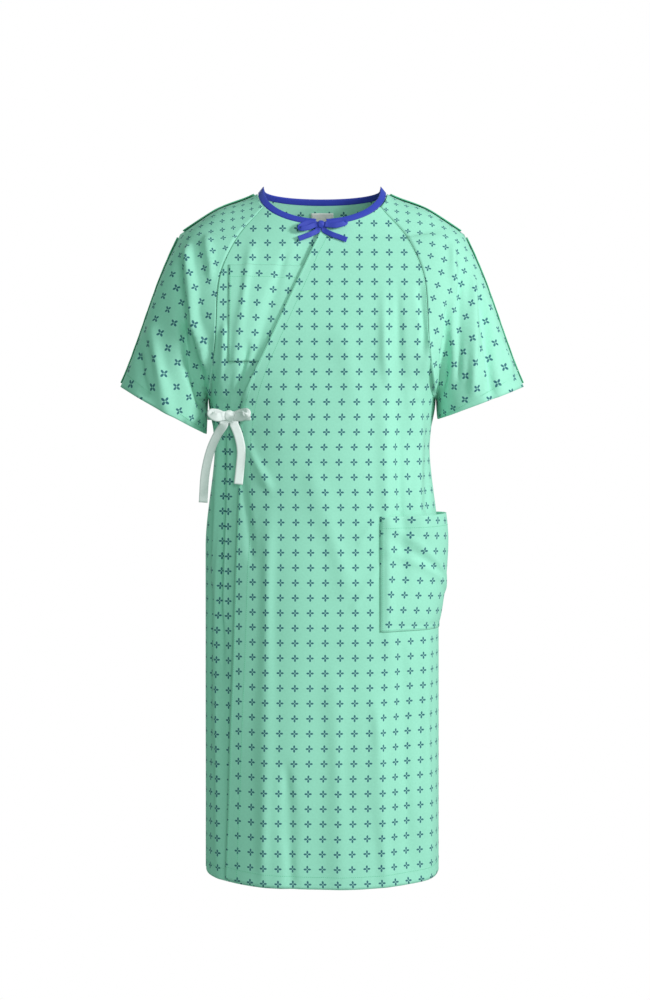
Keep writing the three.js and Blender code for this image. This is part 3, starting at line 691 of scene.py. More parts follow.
# ---- camera and lights ----
def set_camera():
    data = bpy.data.cameras.new("camera")
    data.sensor_fit = "VERTICAL"
    data.sensor_height = SENSOR_HEIGHT
    data.lens = LENS
    data.shift_y = CAMERA_SHIFT
    made = linked("camera", data)
    made.location = CAMERA_PLACE
    made.rotation_euler = (math.pi / 2, 0, 0)
    bpy.context.scene.camera = made


def area_light(name, place, size, power, colour=(1, 1, 1)):
    data = bpy.data.lights.new(name, "AREA")
    data.shape = "DISK"
    data.size = size
    data.energy = power
    data.color = colour
    made = linked(name, data)
    made.location = place
    aim = Vector(LIGHT_AIM) - Vector(place)
    made.rotation_euler = aim.to_track_quat("-Z", "Y").to_euler()


def light_room():
    world = bpy.data.worlds.new("studio")
    world.use_nodes = True
    tree = world.node_tree
    seen = tree.nodes["Background"]
    soft = put(tree, "ShaderNodeBackground", Color=WORLD_COLOUR, Strength=WORLD_STRENGTH)
    ray = put(tree, "ShaderNodeLightPath").outputs["Is Camera Ray"]
    seen.inputs[0].default_value = (1, 1, 1, 1)
    both = put(tree, "ShaderNodeMixShader", i0=ray, i1=soft.outputs[0], i2=seen.outputs[0])
    tree.links.new(both.outputs[0], tree.nodes["World Output"].inputs[0])
    bpy.context.scene.world = world
    bpy.context.scene.view_settings.view_transform = "Standard"
    area_light("key_light", (3.2, -2.3, 0.9), 0.9, 122, (1.0, 0.97, 0.99))
    area_light("front_light", (0.6, -3.8, 0.4), 1.6, 38)
    area_light("rear_light", (-1.2, 3.2, 0.8), 2.0, 35)


def lay_floor():
    count = 96
    turns = [2 * math.pi * k / count for k in range(count)]
    ring = [(FLOOR_RADIUS * math.cos(turn), FLOOR_RADIUS * math.sin(turn), FLOOR_Z) for turn in turns]
    made, tree, shader = start_material("pale_floor", 0.6)
    place = put(tree, "ShaderNodeTexCoord").outputs["Object"]
    cloud = put(tree, "ShaderNodeTexNoise", Vector=place, Scale=3.0)
    tone = put(tree, "ShaderNodeMapRange", i0=cloud.outputs[0], i3=0.82, i4=0.86)
    tree.links.new(tone.outputs[0], shader.inputs["Base Color"])
    floor = new_object("floor", ring, [tuple(range(count))], made, "printed_cloth")
    del floor["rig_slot"]


set_camera()
light_room()
lay_floor()


# ---- tapes and knots ----
def front_y(x, z):
    return float(on_cloth(turn_at(x, z), z)[0][1])


def ribbon(name, path, width, material, slot_name):
    """A flat tape along a path, as wide as it is told in the plane that faces the front."""
    path = np.asarray(path)
    tangent = np.gradient(path, axis=0)
    across = np.cross(tangent, (0.0, -1.0, 0.0))
    length = np.linalg.norm(across, axis=1, keepdims=True)
    across = across / np.maximum(length, 1e-9)
    for k in range(1, len(across)):
        if np.dot(across[k], across[k - 1]) < 0:
            across[k] *= -1
    stations = np.linspace(-0.5, 0.5, 7)
    points = path[:, None] + across[:, None] * stations[None, :, None] * width
    faces = grid_faces(len(path), len(stations))
    made = new_object(name, points.reshape(-1, 3), faces, material, slot_name)
    set_print(made, pairs(stations[None, :] * width, running_length(path)[:, None]))
    return thicken(made, TAPE_THICK)


def knot(name, place, radii, material, slot_name):
    """A pulled knot: a squashed ball with one wrap of tape round its middle."""
    half, deep, tall = radii
    rows, columns = 25, 36
    polar = np.linspace(0.02, math.pi - 0.02, rows)[:, None]
    turn = np.linspace(0, 2 * math.pi, columns, endpoint=False)[None, :]
    x = -np.cos(polar) + 0 * turn
    band = smooth((0.62 - np.abs(x)) / 0.12)
    crease = 1 - 0.10 * np.abs(np.sin(2.5 * turn + 2.2 * x)) + 0.02 * np.sin(9 * turn + 4 * x)
    ring = (np.sin(polar) ** 0.45) * (0.84 + 0.16 * band) * crease
    points = np.stack([x * half, ring * np.sin(turn) * deep, ring * np.cos(turn) * tall], -1)
    points = points + np.array(place)
    made = new_object(name, points.reshape(-1, 3), tube_faces(rows, columns), material, slot_name)
    outward_faces(made)
    set_print(made, pairs(x * half, turn * tall))
    return made


def loop_route(place, half, side, reach, rise, lean, puff):
    """Out of the knot, round the end of the loop and back under itself, a little higher."""
    def out(share, forward, lift):
        x = place[0] + side * (half + KNOT_GAP + reach * share)
        return (x, place[1] - forward * MM - lean * share**2, place[2] + rise * share**2 + lift)

    stops = [(0, 4, 0), (0.12, 4, -0.3), (0.55, 6, -1), (0.96, 4, -0.4), (1, 1.8, 0),
             (0.96, 0.6, 0.4), (0.55, 0.4, 1), (0.12, 0.6, 0.3), (0, 0.6, 0)]
    return [out(share, forward, lift * puff) for share, forward, lift in stops]


def tail_route(place, tall, aside, rest):
    foot = [(place[0] + aside, place[1], place[2] - tall - drop * MM) for drop in (0.4, 3)]
    return [*foot, *[(x, front_y(x, z) - off, z) for x, z, off in rest]]


neck_radii = (0.007, 0.005, 0.007)
waist_radii = (0.010, 0.006, 0.010)


def before_cloth(knot_at, off):
    x, z = knot_at
    return (x, float(body_point(turn_at(x, z), z)[1]) - off, z)


neck_place = before_cloth(NECK_KNOT, 0.0074)
waist_place = before_cloth(WAIST_KNOT, 0.015)


def free_tape(name, route, width, material, slot_name, body, nodes, exit_point, with_pieces=()):
    path = spline(route, 10)
    made = ribbon(name, path, width, material, slot_name)
    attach(made, body)
    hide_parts(*nodes)


def tie_bows():
    neck_knot = knot("neck_bow_knot_wrapped", neck_place, neck_radii, blue, "blue_tape")
    waist_knot = knot("waist_bow_knot_wrapped", waist_place, waist_radii, white, "white_tape")
    for made, node in ((neck_knot, "neck_bow_knot"), (waist_knot, "waist_bow_knot")):
        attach(made, "wrap_flap")
        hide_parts(node)
    right_loop = loop_route(neck_place, neck_radii[0], -1, 0.028, -0.006, 0.004, 0.0045)
    left_loop = loop_route(neck_place, neck_radii[0], 1, 0.034, 0.003, 0.0, 0.0030)
    right_tail = tail_route(neck_place, neck_radii[2], -0.0054, [
        (-0.019, -0.083, 0.005), (-0.029, -0.087, 0.005), (-0.040, -0.091, 0.005)])
    left_tail = tail_route(neck_place, neck_radii[2], 0.0054, [
        (0.016, -0.083, 0.005), (0.029, -0.088, 0.005), (0.042, -0.093, 0.005)])
    centre = [tuple(neck_place)]
    blue_cloth = (NECK_TAPE, blue, "blue_tape", "wrap_flap")
    free_tape("neck_bow_right_tape", right_loop + centre + right_tail, *blue_cloth,
              ["neck_bow_right_loop", "neck_bow_right_tail"], right_loop[0], [neck_knot])
    free_tape("neck_bow_left_tape", left_loop + centre + left_tail, *blue_cloth,
              ["neck_bow_left_loop", "neck_bow_left_tail"], left_loop[0])

    kx, ky, kz = waist_place
    lie = 2.2 * MM  # the tape lies on the cloth
    wrap_tie = [(x, float(body_point(turn_at(x, kz), kz)[1]) - lie, kz) for x in (-0.121, -0.128, -0.135)]
    wrap_tie += [(kx + waist_radii[0] + KNOT_GAP, ky + 0.0044, kz), (kx, ky, kz)]
    right_loop = loop_route(waist_place, waist_radii[0], -1, 0.019, 0.004, 0.0, 0.003)
    left_loop = loop_route(waist_place, waist_radii[0], 1, 0.020, 0.005, 0.020, 0.003)
    right_tail = [(kx - 0.0084, ky, kz - waist_radii[2] - drop * MM) for drop in (0.4, 4)]
    right_tail += [(-0.178, -0.086, -0.424), (-0.190, -0.074, -0.450), (-0.200, -0.062, -0.490),
                   (-0.204, -0.056, -0.541)]
    left_tail = tail_route(waist_place, waist_radii[2], 0.0084, [
        (-0.142, -0.424, 0.010), (-0.137, -0.450, 0.009), (-0.139, -0.480, 0.008), (-0.142, -0.508, 0.008)])
    centre = [tuple(waist_place)]
    white_cloth = (TAPE, white, "white_tape")
    free_tape("waist_bow_right_tape", wrap_tie + right_loop + centre + right_tail, *white_cloth, "wrap_flap",
              ["wrap_tie", "waist_bow_right_loop", "waist_bow_right_tail"], wrap_tie[0], [waist_knot])
    free_tape("waist_bow_left_tape", left_loop + centre + left_tail, *white_cloth, "wrap_flap",
              ["waist_bow_left_loop", "waist_bow_left_tail"], left_loop[0])
    seam_to_knot = [(-0.1985, -0.004), (-0.1966, -0.022), (-0.1914, -0.045), (-0.184, -0.066),
                    (-0.175, -0.085), (kx - waist_radii[0] - 0.8 * MM, ky + 0.004), (kx, ky)]
    side_tie = [(x, y, kz) for x, y in seam_to_knot]
    free_tape("side_tie_tape", side_tie, *white_cloth, "gown", ["side_tie"], side_tie[0])


tie_bows()


# ---- panels ----
NECK_STEPS, CHEST_STEPS, SKIRT_STEPS = 30, 70, 160
SEAM_ANGLE = math.acos(SEAM_START)


def chest_levels(top):
    return np.linspace(top, -UNDERARM_DROP, CHEST_STEPS, endpoint=False)


def print_along(points, column):
    """Print coordinates by distance along each row, counted from one column's own place."""
    steps = np.hypot(np.diff(points[..., 0], axis=1), np.diff(points[..., 1], axis=1))
    run = np.concatenate([np.zeros((len(points), 1)), np.cumsum(steps, 1)], 1)
    run = run - run[:, column, None] + points[:, column, 0, None]
    return np.stack([run, points[..., 2]], -1)


def side_turn(z, side, front):
    seam = turn_at(side * (seam_x(z) - SEAM / 2), z, front)
    short = (SEAM / 2 / mid_depth(z, front)) ** (ROUNDNESS / 2)
    edge = short if side > 0 else math.pi - short
    return np.where(z > -UNDERARM_DROP, seam, edge if front else -edge)


def front_levels(low):
    """Row heights of a front panel, from the raglan seam's top to the hem, for each column."""
    angle = np.linspace(SEAM_ANGLE + 0.012, math.pi / 2, NECK_STEPS, endpoint=False)
    neck = NECK_TOP - SEAM - NECK_RUN * np.sin(angle)
    fixed = np.concatenate([neck, chest_levels(NECK_FOOT)])
    skirt = np.linspace(0, 1, SKIRT_STEPS + 1)
    rows = [np.broadcast_to(fixed[:, None], (len(fixed), len(low)))]
    rows.append(-UNDERARM_DROP + skirt[:, None] * (low[None, :] + UNDERARM_DROP))
    return np.vstack(rows)


def grid_over(z, inner_turn, outer_turn, columns, **how):
    share = np.linspace(0, 1, columns)[None, :]
    return on_cloth(lerp(inner_turn, outer_turn, share), z, **how)


def panel(name, points, normals, coordinates, layers=()):
    """A panel with its hem turned in."""
    hem = slice(-HEM_ROWS, None)
    hem_layer = turned_in(points[hem], normals[hem], coordinates[hem])
    return cloth(name, points, normals, coordinates, green, [hem_layer, *layers])


def outer_front():
    columns = 110
    guess = np.linspace(WRAP_HEM, HIP_HALF, columns)
    z = front_levels(hem_z(guess))
    inner = np.where(z > NECK_FOOT, neck_x(z), wrap_x(z))
    points, normals = grid_over(z, turn_at(inner, z), side_turn(z, 1, True), columns)
    points = eased(points)
    edge = np.exp(-((np.arange(columns) / 1.6) ** 2))[None, :, None]
    points = points + normals * edge * 0.6 * MM * (z < NECK_FOOT)[..., None]
    coordinates = print_along(points, 0)
    facing = (slice(NECK_STEPS + 2, -4), slice(0, FACING_COLUMNS))
    made = panel("outer_front", points, normals, coordinates,
                 [turned_in(points[facing], normals[facing], coordinates[facing])])
    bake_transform(made)
    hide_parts("left_front_panel", "wrap_panel")
    return points, normals


def under_front():
    columns = 100
    guess = np.linspace(-HIP_HALF, UNDER_EDGE, columns)
    z = front_levels(hem_z(guess))
    inner = np.where(z > NECK_FOOT + SEAM, -neck_x(z), under_x(z))
    points, normals = grid_over(z, side_turn(z, -1, True), turn_at(inner, z), columns, under=True)
    points = eased(points)
    coordinates = print_along(points, columns - 1) + np.array([0.004, 0.009])
    made = panel("under_front", points, normals, coordinates)
    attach(made, "gown")
    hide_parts("right_front_panel")
    return points, normals


def back():
    columns = 130
    share = np.linspace(0, 1, columns)
    level = np.array(-0.022)
    across = lerp(side_turn(level, -1, False), side_turn(level, 1, False), share)
    top = back_neck_z(body_point(across, level)[:, 0]) + 3 * MM
    low = hem_z(lerp(-HIP_HALF, HIP_HALF, share))
    foot = NECK_FOOT - SEAM
    neck = lerp(top[None, :], foot, np.linspace(0, 1, NECK_STEPS, endpoint=False)[:, None])
    chest = np.broadcast_to(chest_levels(foot)[:, None], (CHEST_STEPS, columns))
    skirt = -UNDERARM_DROP + np.linspace(0, 1, SKIRT_STEPS + 1)[:, None] * (low[None, :] + UNDERARM_DROP)
    z = np.vstack([neck, chest, skirt])
    points, normals = grid_over(z, side_turn(z, -1, False), side_turn(z, 1, False), columns, front=False)
    points = eased(points)
    coordinates = print_along(points, columns // 2)
    made = panel("back", points, normals, coordinates)
    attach(made, "gown")
    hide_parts("back_panel")
    return points, normals


front_points, front_normals = outer_front()
under_points, under_normals = under_front()
back_points, back_normals = back()

# ---- raglan sleeves ----
ARM_ROWS = 40
SLEEVE_ROWS = 46
UPPER_ROWS = 22
SHOULDER_COLUMNS = 26
RELAX_REACH = 0.045
RELAX_ROUNDS = 60
TOP_LINE_LEAN = 46  # degrees that a laid-out sleeve's top line falls outward, for its print
# Folds of each sleeve's front: as the front's folds, with x and z of top and foot.
RIGHT_SLEEVE_FOLDS = [
    (-0.230, -0.100, -0.213, -0.250, 0.011, 12.0),
    (-0.213, -0.235, -0.178, -0.350, 0.011, 13.5),
    (-0.247, -0.130, -0.236, -0.260, 0.012, -10.5),
    (-0.240, -0.230, -0.205, -0.380, 0.014, -13.5),
    (-0.198, -0.085, -0.186, -0.160, 0.010, 6.0),
    (-0.292, -0.230, -0.262, -0.400, 0.016, 9.0),
    (-0.318, -0.280, -0.300, -0.360, 0.010, -7.5),
    (-0.262, -0.110, -0.282, -0.200, 0.010, 5.2),
]
LEFT_SLEEVE_FOLDS = [
    (0.274, -0.150, 0.292, -0.370, 0.013, -12.6),
    (0.297, -0.180, 0.322, -0.330, 0.011, 7.0),
    (0.258, -0.150, 0.258, -0.360, 0.012, 9.1),
    (0.236, -0.130, 0.232, -0.340, 0.010, -5.6),
    (0.216, -0.200, 0.206, -0.350, 0.010, -9.8),
    (0.222, -0.100, 0.226, -0.180, 0.010, 4.9),
]


def sleeve_point(t, turn):
    """The sleeve on the wearer's left: t runs from armhole to hem, turn 0 is its top line."""
    tip = np.array([TIP_X, 0, -TIP_DROP])
    low = np.array([UNDERARM_X + 1.2 * MM, 0, -UNDERARM_DROP])
    top = lerp(tip, np.array([CUFF_X, 0, -CUFF_DROP]), t[..., None])
    base = lerp(low, np.array([CUFF_IN_X, 0, -CUFF_IN_DROP]), t[..., None])
    point = (top + base) / 2 + (top - base) / 2 * np.cos(turn)[..., None]
    point[..., 1] = -lerp(ARM_DEPTH, CUFF_DEPTH, t) * np.sin(turn)
    return rounded(point)


def off_axis(normals, points, t):
    """Normals turned to point away from the middle of the sleeve."""
    axis = (sleeve_point(t, 0 * t) + sleeve_point(t, 0 * t + math.pi)) / 2
    return np.where(np.sum(normals * (points - axis), -1, keepdims=True) < 0, -normals, normals)


def sleeve_half(side, front):
    """Shoulder and sleeve as one cloth: one patch from raglan seam to armhole, one from there to the hem."""
    turns = np.linspace(0.004, math.pi - 0.004, ARM_ROWS)
    # Shoulder patch: rows from the neck to the tip, then round the armhole.
    seam_at = SEAM_TOP_Z if front else float(back_neck_z(np.array(SEAM_TOP_X)))
    upper = np.linspace(NECK_TOP - 2 * SEAM, -TIP_DROP, UPPER_ROWS, endpoint=False)
    round_arm = ARM_Z + ARM_HALF * np.cos(turns)
    z = np.concatenate([upper, round_arm])[:, None]
    neck = (neck_x(z) if front else np.full_like(z, NECK_LOW)) + SEAM
    inner = np.where(z > seam_at, neck, seam_x(z) + SEAM / 2)
    start = turn_at(np.minimum(inner, half_width(z) - 1.5 * MM), z)
    turn = lerp(start, 0.004, np.linspace(0, 1, SHOULDER_COLUMNS)[None, :])
    shoulder, _ = on_cloth(turn if front else -turn, z, front, folds=0.6)
    shoulder[UPPER_ROWS:, -1] = sleeve_point(np.zeros(ARM_ROWS), turns if front else -turns)
    # Sleeve patch: its first row is the armhole line.
    t = np.linspace(0, 1, SLEEVE_ROWS)[:, None] + 0 * turns[None, :]
    around = (turns if front else -turns)[None, :] + 0 * t
    sleeve = sleeve_point(t, around)
    across = sleeve_point(t, around + 1e-3) - sleeve_point(t, around - 1e-3)
    along = sleeve_point(np.clip(t + 0.01, 0, 1), around) - sleeve_point(np.clip(t - 0.01, 0, 1), around)
    normals = np.cross(across, along)
    normals /= np.linalg.norm(normals, axis=-1, keepdims=True)
    normals = off_axis(normals, sleeve, t)
    calm = 0.36 if not front else 0.0
    far = np.abs(around)
    fade = smooth((far - calm) / 0.35) * smooth((math.pi - far) / 0.3) * smooth(t / 0.12)
    if side > 0:
        sleeve[..., 2] += LEFT_HEM_RISE * t**2 * (1 - np.cos(around)) / 2
    sleeve = sleeve + normals * (1.4 * MM * np.sin(5 * far + 2 * t) * t * fade)[..., None]
    mirror = np.array([side, 1, 1])
    return shoulder * mirror, sleeve * mirror, normals * mirror


def relax(made, centre, reach, rounds):
    """Rounds off the cloth where shoulder and sleeve meet; its edges stay."""
    mesh = made.data
    count = len(mesh.vertices)
    place = np.empty(count * 3)
    mesh.vertices.foreach_get("co", place)
    place = place.reshape(-1, 3)
    edges = np.array([e.vertices[:] for e in mesh.edges])
    use = np.zeros(len(edges), int)
    index = {tuple(sorted(e)): k for k, e in enumerate(edges.tolist())}
    for face in mesh.polygons:
        for key in face.edge_keys:
            use[index[tuple(sorted(key))]] += 1
    rim = np.zeros(count, bool)
    rim[edges[use < 2].ravel()] = True
    weight = np.where(rim, 0, bell(centre(place) / reach))[:, None] * 0.6
    degree = np.bincount(edges.ravel(), minlength=count)[:, None]
    for _ in range(rounds):
        total = np.zeros_like(place)
        np.add.at(total, edges[:, 0], place[edges[:, 1]])
        np.add.at(total, edges[:, 1], place[edges[:, 0]])
        place = lerp(place, total / degree, weight)
    mesh.vertices.foreach_set("co", place.ravel())
    mesh.update()
    return place


def crease(made, place, folds):
    """Lifts and sinks a cloth along its normals by folds, fading towards its sewn edges."""
    normals = np.array([v.normal for v in made.data.vertices])
    x, z = place[:, 0], place[:, 2]
    seam = smooth((np.abs(x) - seam_x(z) - 0.002) / 0.012)
    seam = np.where(z < -UNDERARM_DROP, 1.0, seam)
    edge = smooth((top_line(x) - z - 0.004) / 0.02)
    out = normals * np.sign(np.sum(normals[:, 1] < 0) - len(normals) / 2)  # most of the front faces -Y
    place = place + out * (fold_field(folds, x, z) * seam * edge)[:, None]
    made.data.vertices.foreach_set("co", place.ravel())
    made.data.update()


def flatten_print(made, start, end, angle):
    """Print coordinates by laying the cloth flat, at true size, with a line on it at a known angle."""
    bpy.context.view_layer.objects.active = made
    made.select_set(True)
    made.data.uv_layers.new(name="print")
    bpy.ops.object.mode_set(mode="EDIT")
    bpy.ops.mesh.select_all(action="SELECT")
    bpy.ops.uv.unwrap(method="CONFORMAL", margin=0.0)
    bpy.ops.object.mode_set(mode="OBJECT")
    made.select_set(False)
    mesh = made.data
    flat = np.empty(len(mesh.loops) * 2, np.float32)
    mesh.uv_layers["print"].data.foreach_get("uv", flat)
    flat = flat.reshape(-1, 2).astype(float)
    owner = np.empty(len(mesh.loops), np.int64)
    mesh.loops.foreach_get("vertex_index", owner)
    place = np.array([v.co for v in mesh.vertices])
    at = np.zeros((len(place), 2))
    at[owner] = flat
    a, b = (int(np.argmin(np.linalg.norm(place - np.array(p), axis=1))) for p in (start, end))
    real = sum(face.area for face in mesh.polygons)
    spread = 0.0
    for face in mesh.polygons:
        p = at[list(face.vertices)]
        x, y = p[:, 0], p[:, 1]
        spread += 0.5 * abs(float(np.dot(x, np.roll(y, -1)) - np.dot(y, np.roll(x, -1))))
    line = at[b] - at[a]
    turn = angle - math.atan2(line[1], line[0])
    size = math.sqrt(real / spread)
    c, s = math.cos(turn) * size, math.sin(turn) * size
    flat = flat @ np.array([[c, s], [-s, c]])
    mesh.uv_layers["print"].data.foreach_set("uv", flat.astype(np.float32).ravel())


ARM_AXIS = np.array([UNDERARM_DROP - TIP_DROP, 0, UNDERARM_X - TIP_X])
ARM_AXIS /= np.linalg.norm(ARM_AXIS)
ARM_CENTRE = np.array([(TIP_X + UNDERARM_X) / 2, 0, ARM_Z])


def raglan_half(word, side, half):
    front = half == "front"
    mirror = np.array([side, 1, 1])
    shoulder, sleeve, sleeve_normals = sleeve_half(side, front)
    points = np.vstack([shoulder.reshape(-1, 3), sleeve.reshape(-1, 3)])
    rows, columns = shoulder.shape[:2]
    faces = grid_faces(rows, columns) + grid_faces(*sleeve.shape[:2], rows * columns)
    made = new_object(f"{word}_raglan_{half}", points, faces, sleeve_green, "printed_cloth")
    outward_faces(made, join=0.05 * MM)
    made.data.shade_smooth()
    outward = 1 if not front else -1
    if sum(f.normal[1] * f.area for f in made.data.polygons) * outward < 0:
        made.data.flip_normals()
    place = relax(made, lambda p: (p * mirror - ARM_CENTRE) @ ARM_AXIS, RELAX_REACH, RELAX_ROUNDS)
    if front:
        crease(made, place, RIGHT_SLEEVE_FOLDS if side < 0 else LEFT_SLEEVE_FOLDS)
    tip, cuff = (side * TIP_X, 0, -TIP_DROP), (side * CUFF_X, 0, -CUFF_DROP)
    lean = math.radians(-TOP_LINE_LEAN) if side > 0 else math.radians(180 + TOP_LINE_LEAN)
    flatten_print(made, tip, cuff, lean)
    thicken(made)
    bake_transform(made)
    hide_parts(f"{word}_shoulder_{half}", f"{word}_sleeve_{half}")
    return sleeve, sleeve_normals


sleeve_grids = {}
for word, side in (("right", -1), ("left", 1)):
    for half in ("front", "back"):
        sleeve_grids[word, half] = raglan_half(word, side, half)


# ---- neck binding ----
def binding(name, start, end, front, nodes, bend=None):
    """Folded tape round the neck: its section is a flat oval that leaves the cloth's edge inside it."""
    turns = np.linspace(start, end, int(90 * abs(end - start)) + 8)
    c, s = np.cos(turns), np.sin(turns)
    drop = NECK_DROP if front else BACK_DROP - BINDING / 2
    run = NECK_RUN if front else BACK_DROP
    edges = []
    lower_edge = (lerp(NECK_HALF, NECK_LOW, 0.98) * c, lerp(-drop * s, NECK_TOP - run * s, 0.98))
    for x, z in ((NECK_HALF * c, -drop * s), lower_edge):
        z = np.minimum(z, ridge_z(np.abs(x)) - 0.3 * MM)
        edges.append(on_cloth(turn_at(x, z, front), z, front, folds=0))
    (upper, normal), (lower, _) = edges
    stand = np.zeros(len(turns))
    for point in (0, math.pi):
        stand += (0.006 if front else 0.003) * np.exp(-(((turns - point) / 0.10) ** 2))
    upper = upper + stand[:, None] * np.array([0, 0, 1])
    middle, half = (upper + lower) / 2, (lower - upper) / 2
    section = np.linspace(0, 2 * math.pi, 16, endpoint=False)
    across = np.sign(np.cos(section)) * np.abs(np.cos(section)) ** 0.75
    through = np.sign(np.sin(section)) * np.abs(np.sin(section)) ** 0.6 * 1.15 * MM
    pucker = 1 + 0.10 * np.sin(2 * math.pi * np.arange(len(turns)) / 3.1)
    points = (middle[:, None] + half[:, None] * across[None, :, None]
              + normal[:, None] * (through[None, :] * pucker[:, None])[..., None])
    faces = tube_faces(len(turns), len(section))
    made = new_object(name, points.reshape(-1, 3), faces, blue, "blue_tape")
    outward_faces(made)
    set_print(made, pairs(section[None, :] * 0.0016, running_length(middle)[:, None]))
    if bend:
        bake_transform(made)
    else:
        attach(made, "gown")
    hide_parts(*nodes)
    return middle, lower, normal


wrap_bend = ("gown", "wrap_flap", *WRAP_BEND)
middle_front = math.pi / 2
front_band = binding("front_neck_binding", 0.02, middle_front - 0.07, True,
                     ["left_neck_binding", "wrap_neck_binding"], wrap_bend)
right_band = binding("right_neck_binding_tape", middle_front + 0.10, math.pi - 0.02, True,
                     ["right_neck_binding"])
back_band = binding("back_neck_binding_tape", 0.02, math.pi - 0.02, False, ["back_neck_binding"])


# ---- pockets and label ----
def pocket_grid(rows, columns, turn_of, top, bottom, lift_of, under=False):
    v = np.linspace(0, 1, rows)[:, None]
    u = np.linspace(0, 1, columns)[None, :]
    z = lerp(top, bottom, v) + 0 * u
    turn = turn_of(u, z)
    points, normals = on_cloth(turn, z, lift=lift_of(u, v), under=under)
    return points, normals, print_at(turn, z)


def hip_pocket():
    def turn_of(u, z):
        return lerp(turn_at(HIP_POCKET_X, z), HIP_POCKET_TURN, u)

    def lift_of(u, v):
        puff = np.sin(math.pi * u) * np.cos(np.clip(v * 1.05, 0, 1) * math.pi / 2) ** 0.7
        crease = 3.2 * bell((v - 0.9 * u - 0.02) / 0.07) + 2.4 * bell((v - 0.55 * u - 0.28) / 0.06)
        crease -= 2.2 * bell((v - 0.7 * u - 0.16) / 0.06)
        ripple = 1.6 * np.sin(9 * u + 3 * v) * np.sin(math.pi * u) * (1 - v)
        return 1.3 * MM + (19 * puff + (crease + ripple) * np.sin(math.pi * u) ** 0.7) * MM

    points, normals, coordinates = pocket_grid(60, 60, turn_of, HIP_POCKET_TOP, HIP_POCKET_FOOT, lift_of)
    top = slice(0, HIP_HEM_ROWS)
    inside = [turned_in(points[top], normals[top], coordinates[top])]
    made = cloth("hip_pocket_cloth", points, normals, coordinates, pocket_green, inside)
    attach(made, "gown")
    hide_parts("hip_pocket")
    return points, normals


def chest_pocket():
    def turn_of(u, z):
        return turn_at(lerp(CHEST_POCKET_LEFT, CHEST_POCKET_RIGHT, u), z)

    def lift_of(u, v):
        return (lerp(1.5, 2.4, np.clip(4 * u, 0, 1)) + 0 * v) * MM

    points, normals, coordinates = pocket_grid(56, 46, turn_of, CHEST_POCKET_TOP, CHEST_POCKET_FOOT,
                                               lift_of, under=True)
    top = slice(0, CHEST_HEM_ROWS)
    inside = [turned_in(points[top], normals[top], coordinates[top], 0.5 * MM)]
    made = cloth("chest_pocket_cloth", points, normals, coordinates + 0.006, pocket_green, inside)
    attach(made, "gown")
    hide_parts("chest_pocket")
    return points, normals


def care_label():
    u = np.linspace(-LABEL_HALF, LABEL_HALF, 17)[None, :]
    z = np.linspace(LABEL_TOP, LABEL_FOOT, 13)[:, None]
    lift = -(2.0 + 0.5 * np.sin(180 * u + 40 * z)) * MM
    points, normals = on_cloth(turn_at(u, z, False), z + 0 * u, front=False, lift=lift, folds=0)
    faces = grid_faces(*points.shape[:2])
    made = new_object("care_label_satin", points.reshape(-1, 3), faces, label_white, "label_tape")
    set_print(made, pairs(u, z))
    thicken(made, LABEL_CLOTH)
    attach(made, "gown")
    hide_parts("care_label")
    return points, normals


hip_points, hip_normals = hip_pocket()
chest_points, chest_normals = chest_pocket()
label_points, label_normals = care_label()


# ---- placket flaps ----
def flap_cloth(word, part, side, points, normals):
    mirror = np.array([side, 1, 1])
    points, normals = points * mirror, normals * mirror
    length = np.linalg.norm(np.diff(points, axis=0), axis=-1).cumsum(0).mean(1)
    run = np.concatenate([[0], length])[:, None]
    wide = np.linspace(0, PLACKET, points.shape[1])[None, :]
    coordinates = np.stack(np.broadcast_arrays(wide, run), -1)
    # The flaps use the darker green, which is painted shade.
    made = cloth(f"{word}_{part}_placket", points, normals, coordinates, flap_painted_shade_green)
    made.modifiers[0].thickness = FLAP_CLOTH
    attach(made, f"{word}_{part}_flap")
    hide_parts(f"{word}_{part}_flap")
    return points, normals


def shoulder_flap(word, side):
    z = np.linspace(ridge_z(NECK_LOW + FLAP_END), ridge_z(TIP_X - FLAP_END), 40)[:, None]
    v = np.linspace(-0.12, 1, 14)[None, :]
    share = np.abs(PLACKET * v / mid_depth(z, False)) ** (ROUNDNESS / 2)
    turn = -np.sign(v) * np.arcsin(share)
    wave = 0.4 * MM * np.sin(30 * v + 60 * z)
    points, normals = on_cloth(turn, z + 0 * v, front=False, lift=FLAP_LIFT - 0.3 * MM + wave, folds=0)
    return flap_cloth(word, "shoulder", side, points, normals)


def sleeve_flap(word, side):
    arm_length = math.hypot(CUFF_X - TIP_X, CUFF_DROP - TIP_DROP)
    t = np.linspace(FLAP_END / arm_length, 1 - FLAP_END / arm_length, 50)[:, None]
    v = np.linspace(-0.10, 1, 14)[None, :]
    turn = -0.004 - PLACKET / lerp(ARM_DEPTH, CUFF_DEPTH, t) * v
    t = t + 0 * v
    points = sleeve_point(t, turn)
    across = sleeve_point(t, turn + 1e-3) - points
    along = sleeve_point(np.minimum(t + 0.01, 1.02), turn) - points
    normals = np.cross(across, along)
    normals /= np.linalg.norm(normals, axis=-1, keepdims=True)
    normals = off_axis(normals, points, t)
    wave = 0.4 * MM * np.sin(20 * v + 30 * t)
    points = points + normals * (FLAP_LIFT - SLEEVE_FLAT + wave)[..., None]
    return flap_cloth(word, "sleeve", side, points, normals)


flap_grids = {}
for word, side in (("right", -1), ("left", 1)):
    flap_grids[word, "shoulder"] = shoulder_flap(word, side)
    flap_grids[word, "sleeve"] = sleeve_flap(word, side)


# ---- what repeats: stitches and snaps ----
def geometry_tree(name, ins):
    shape = ("Geometry", "NodeSocketGeometry")
    return group(name, [(*shape, None), *ins], [shape], "GeometryNodeTree")


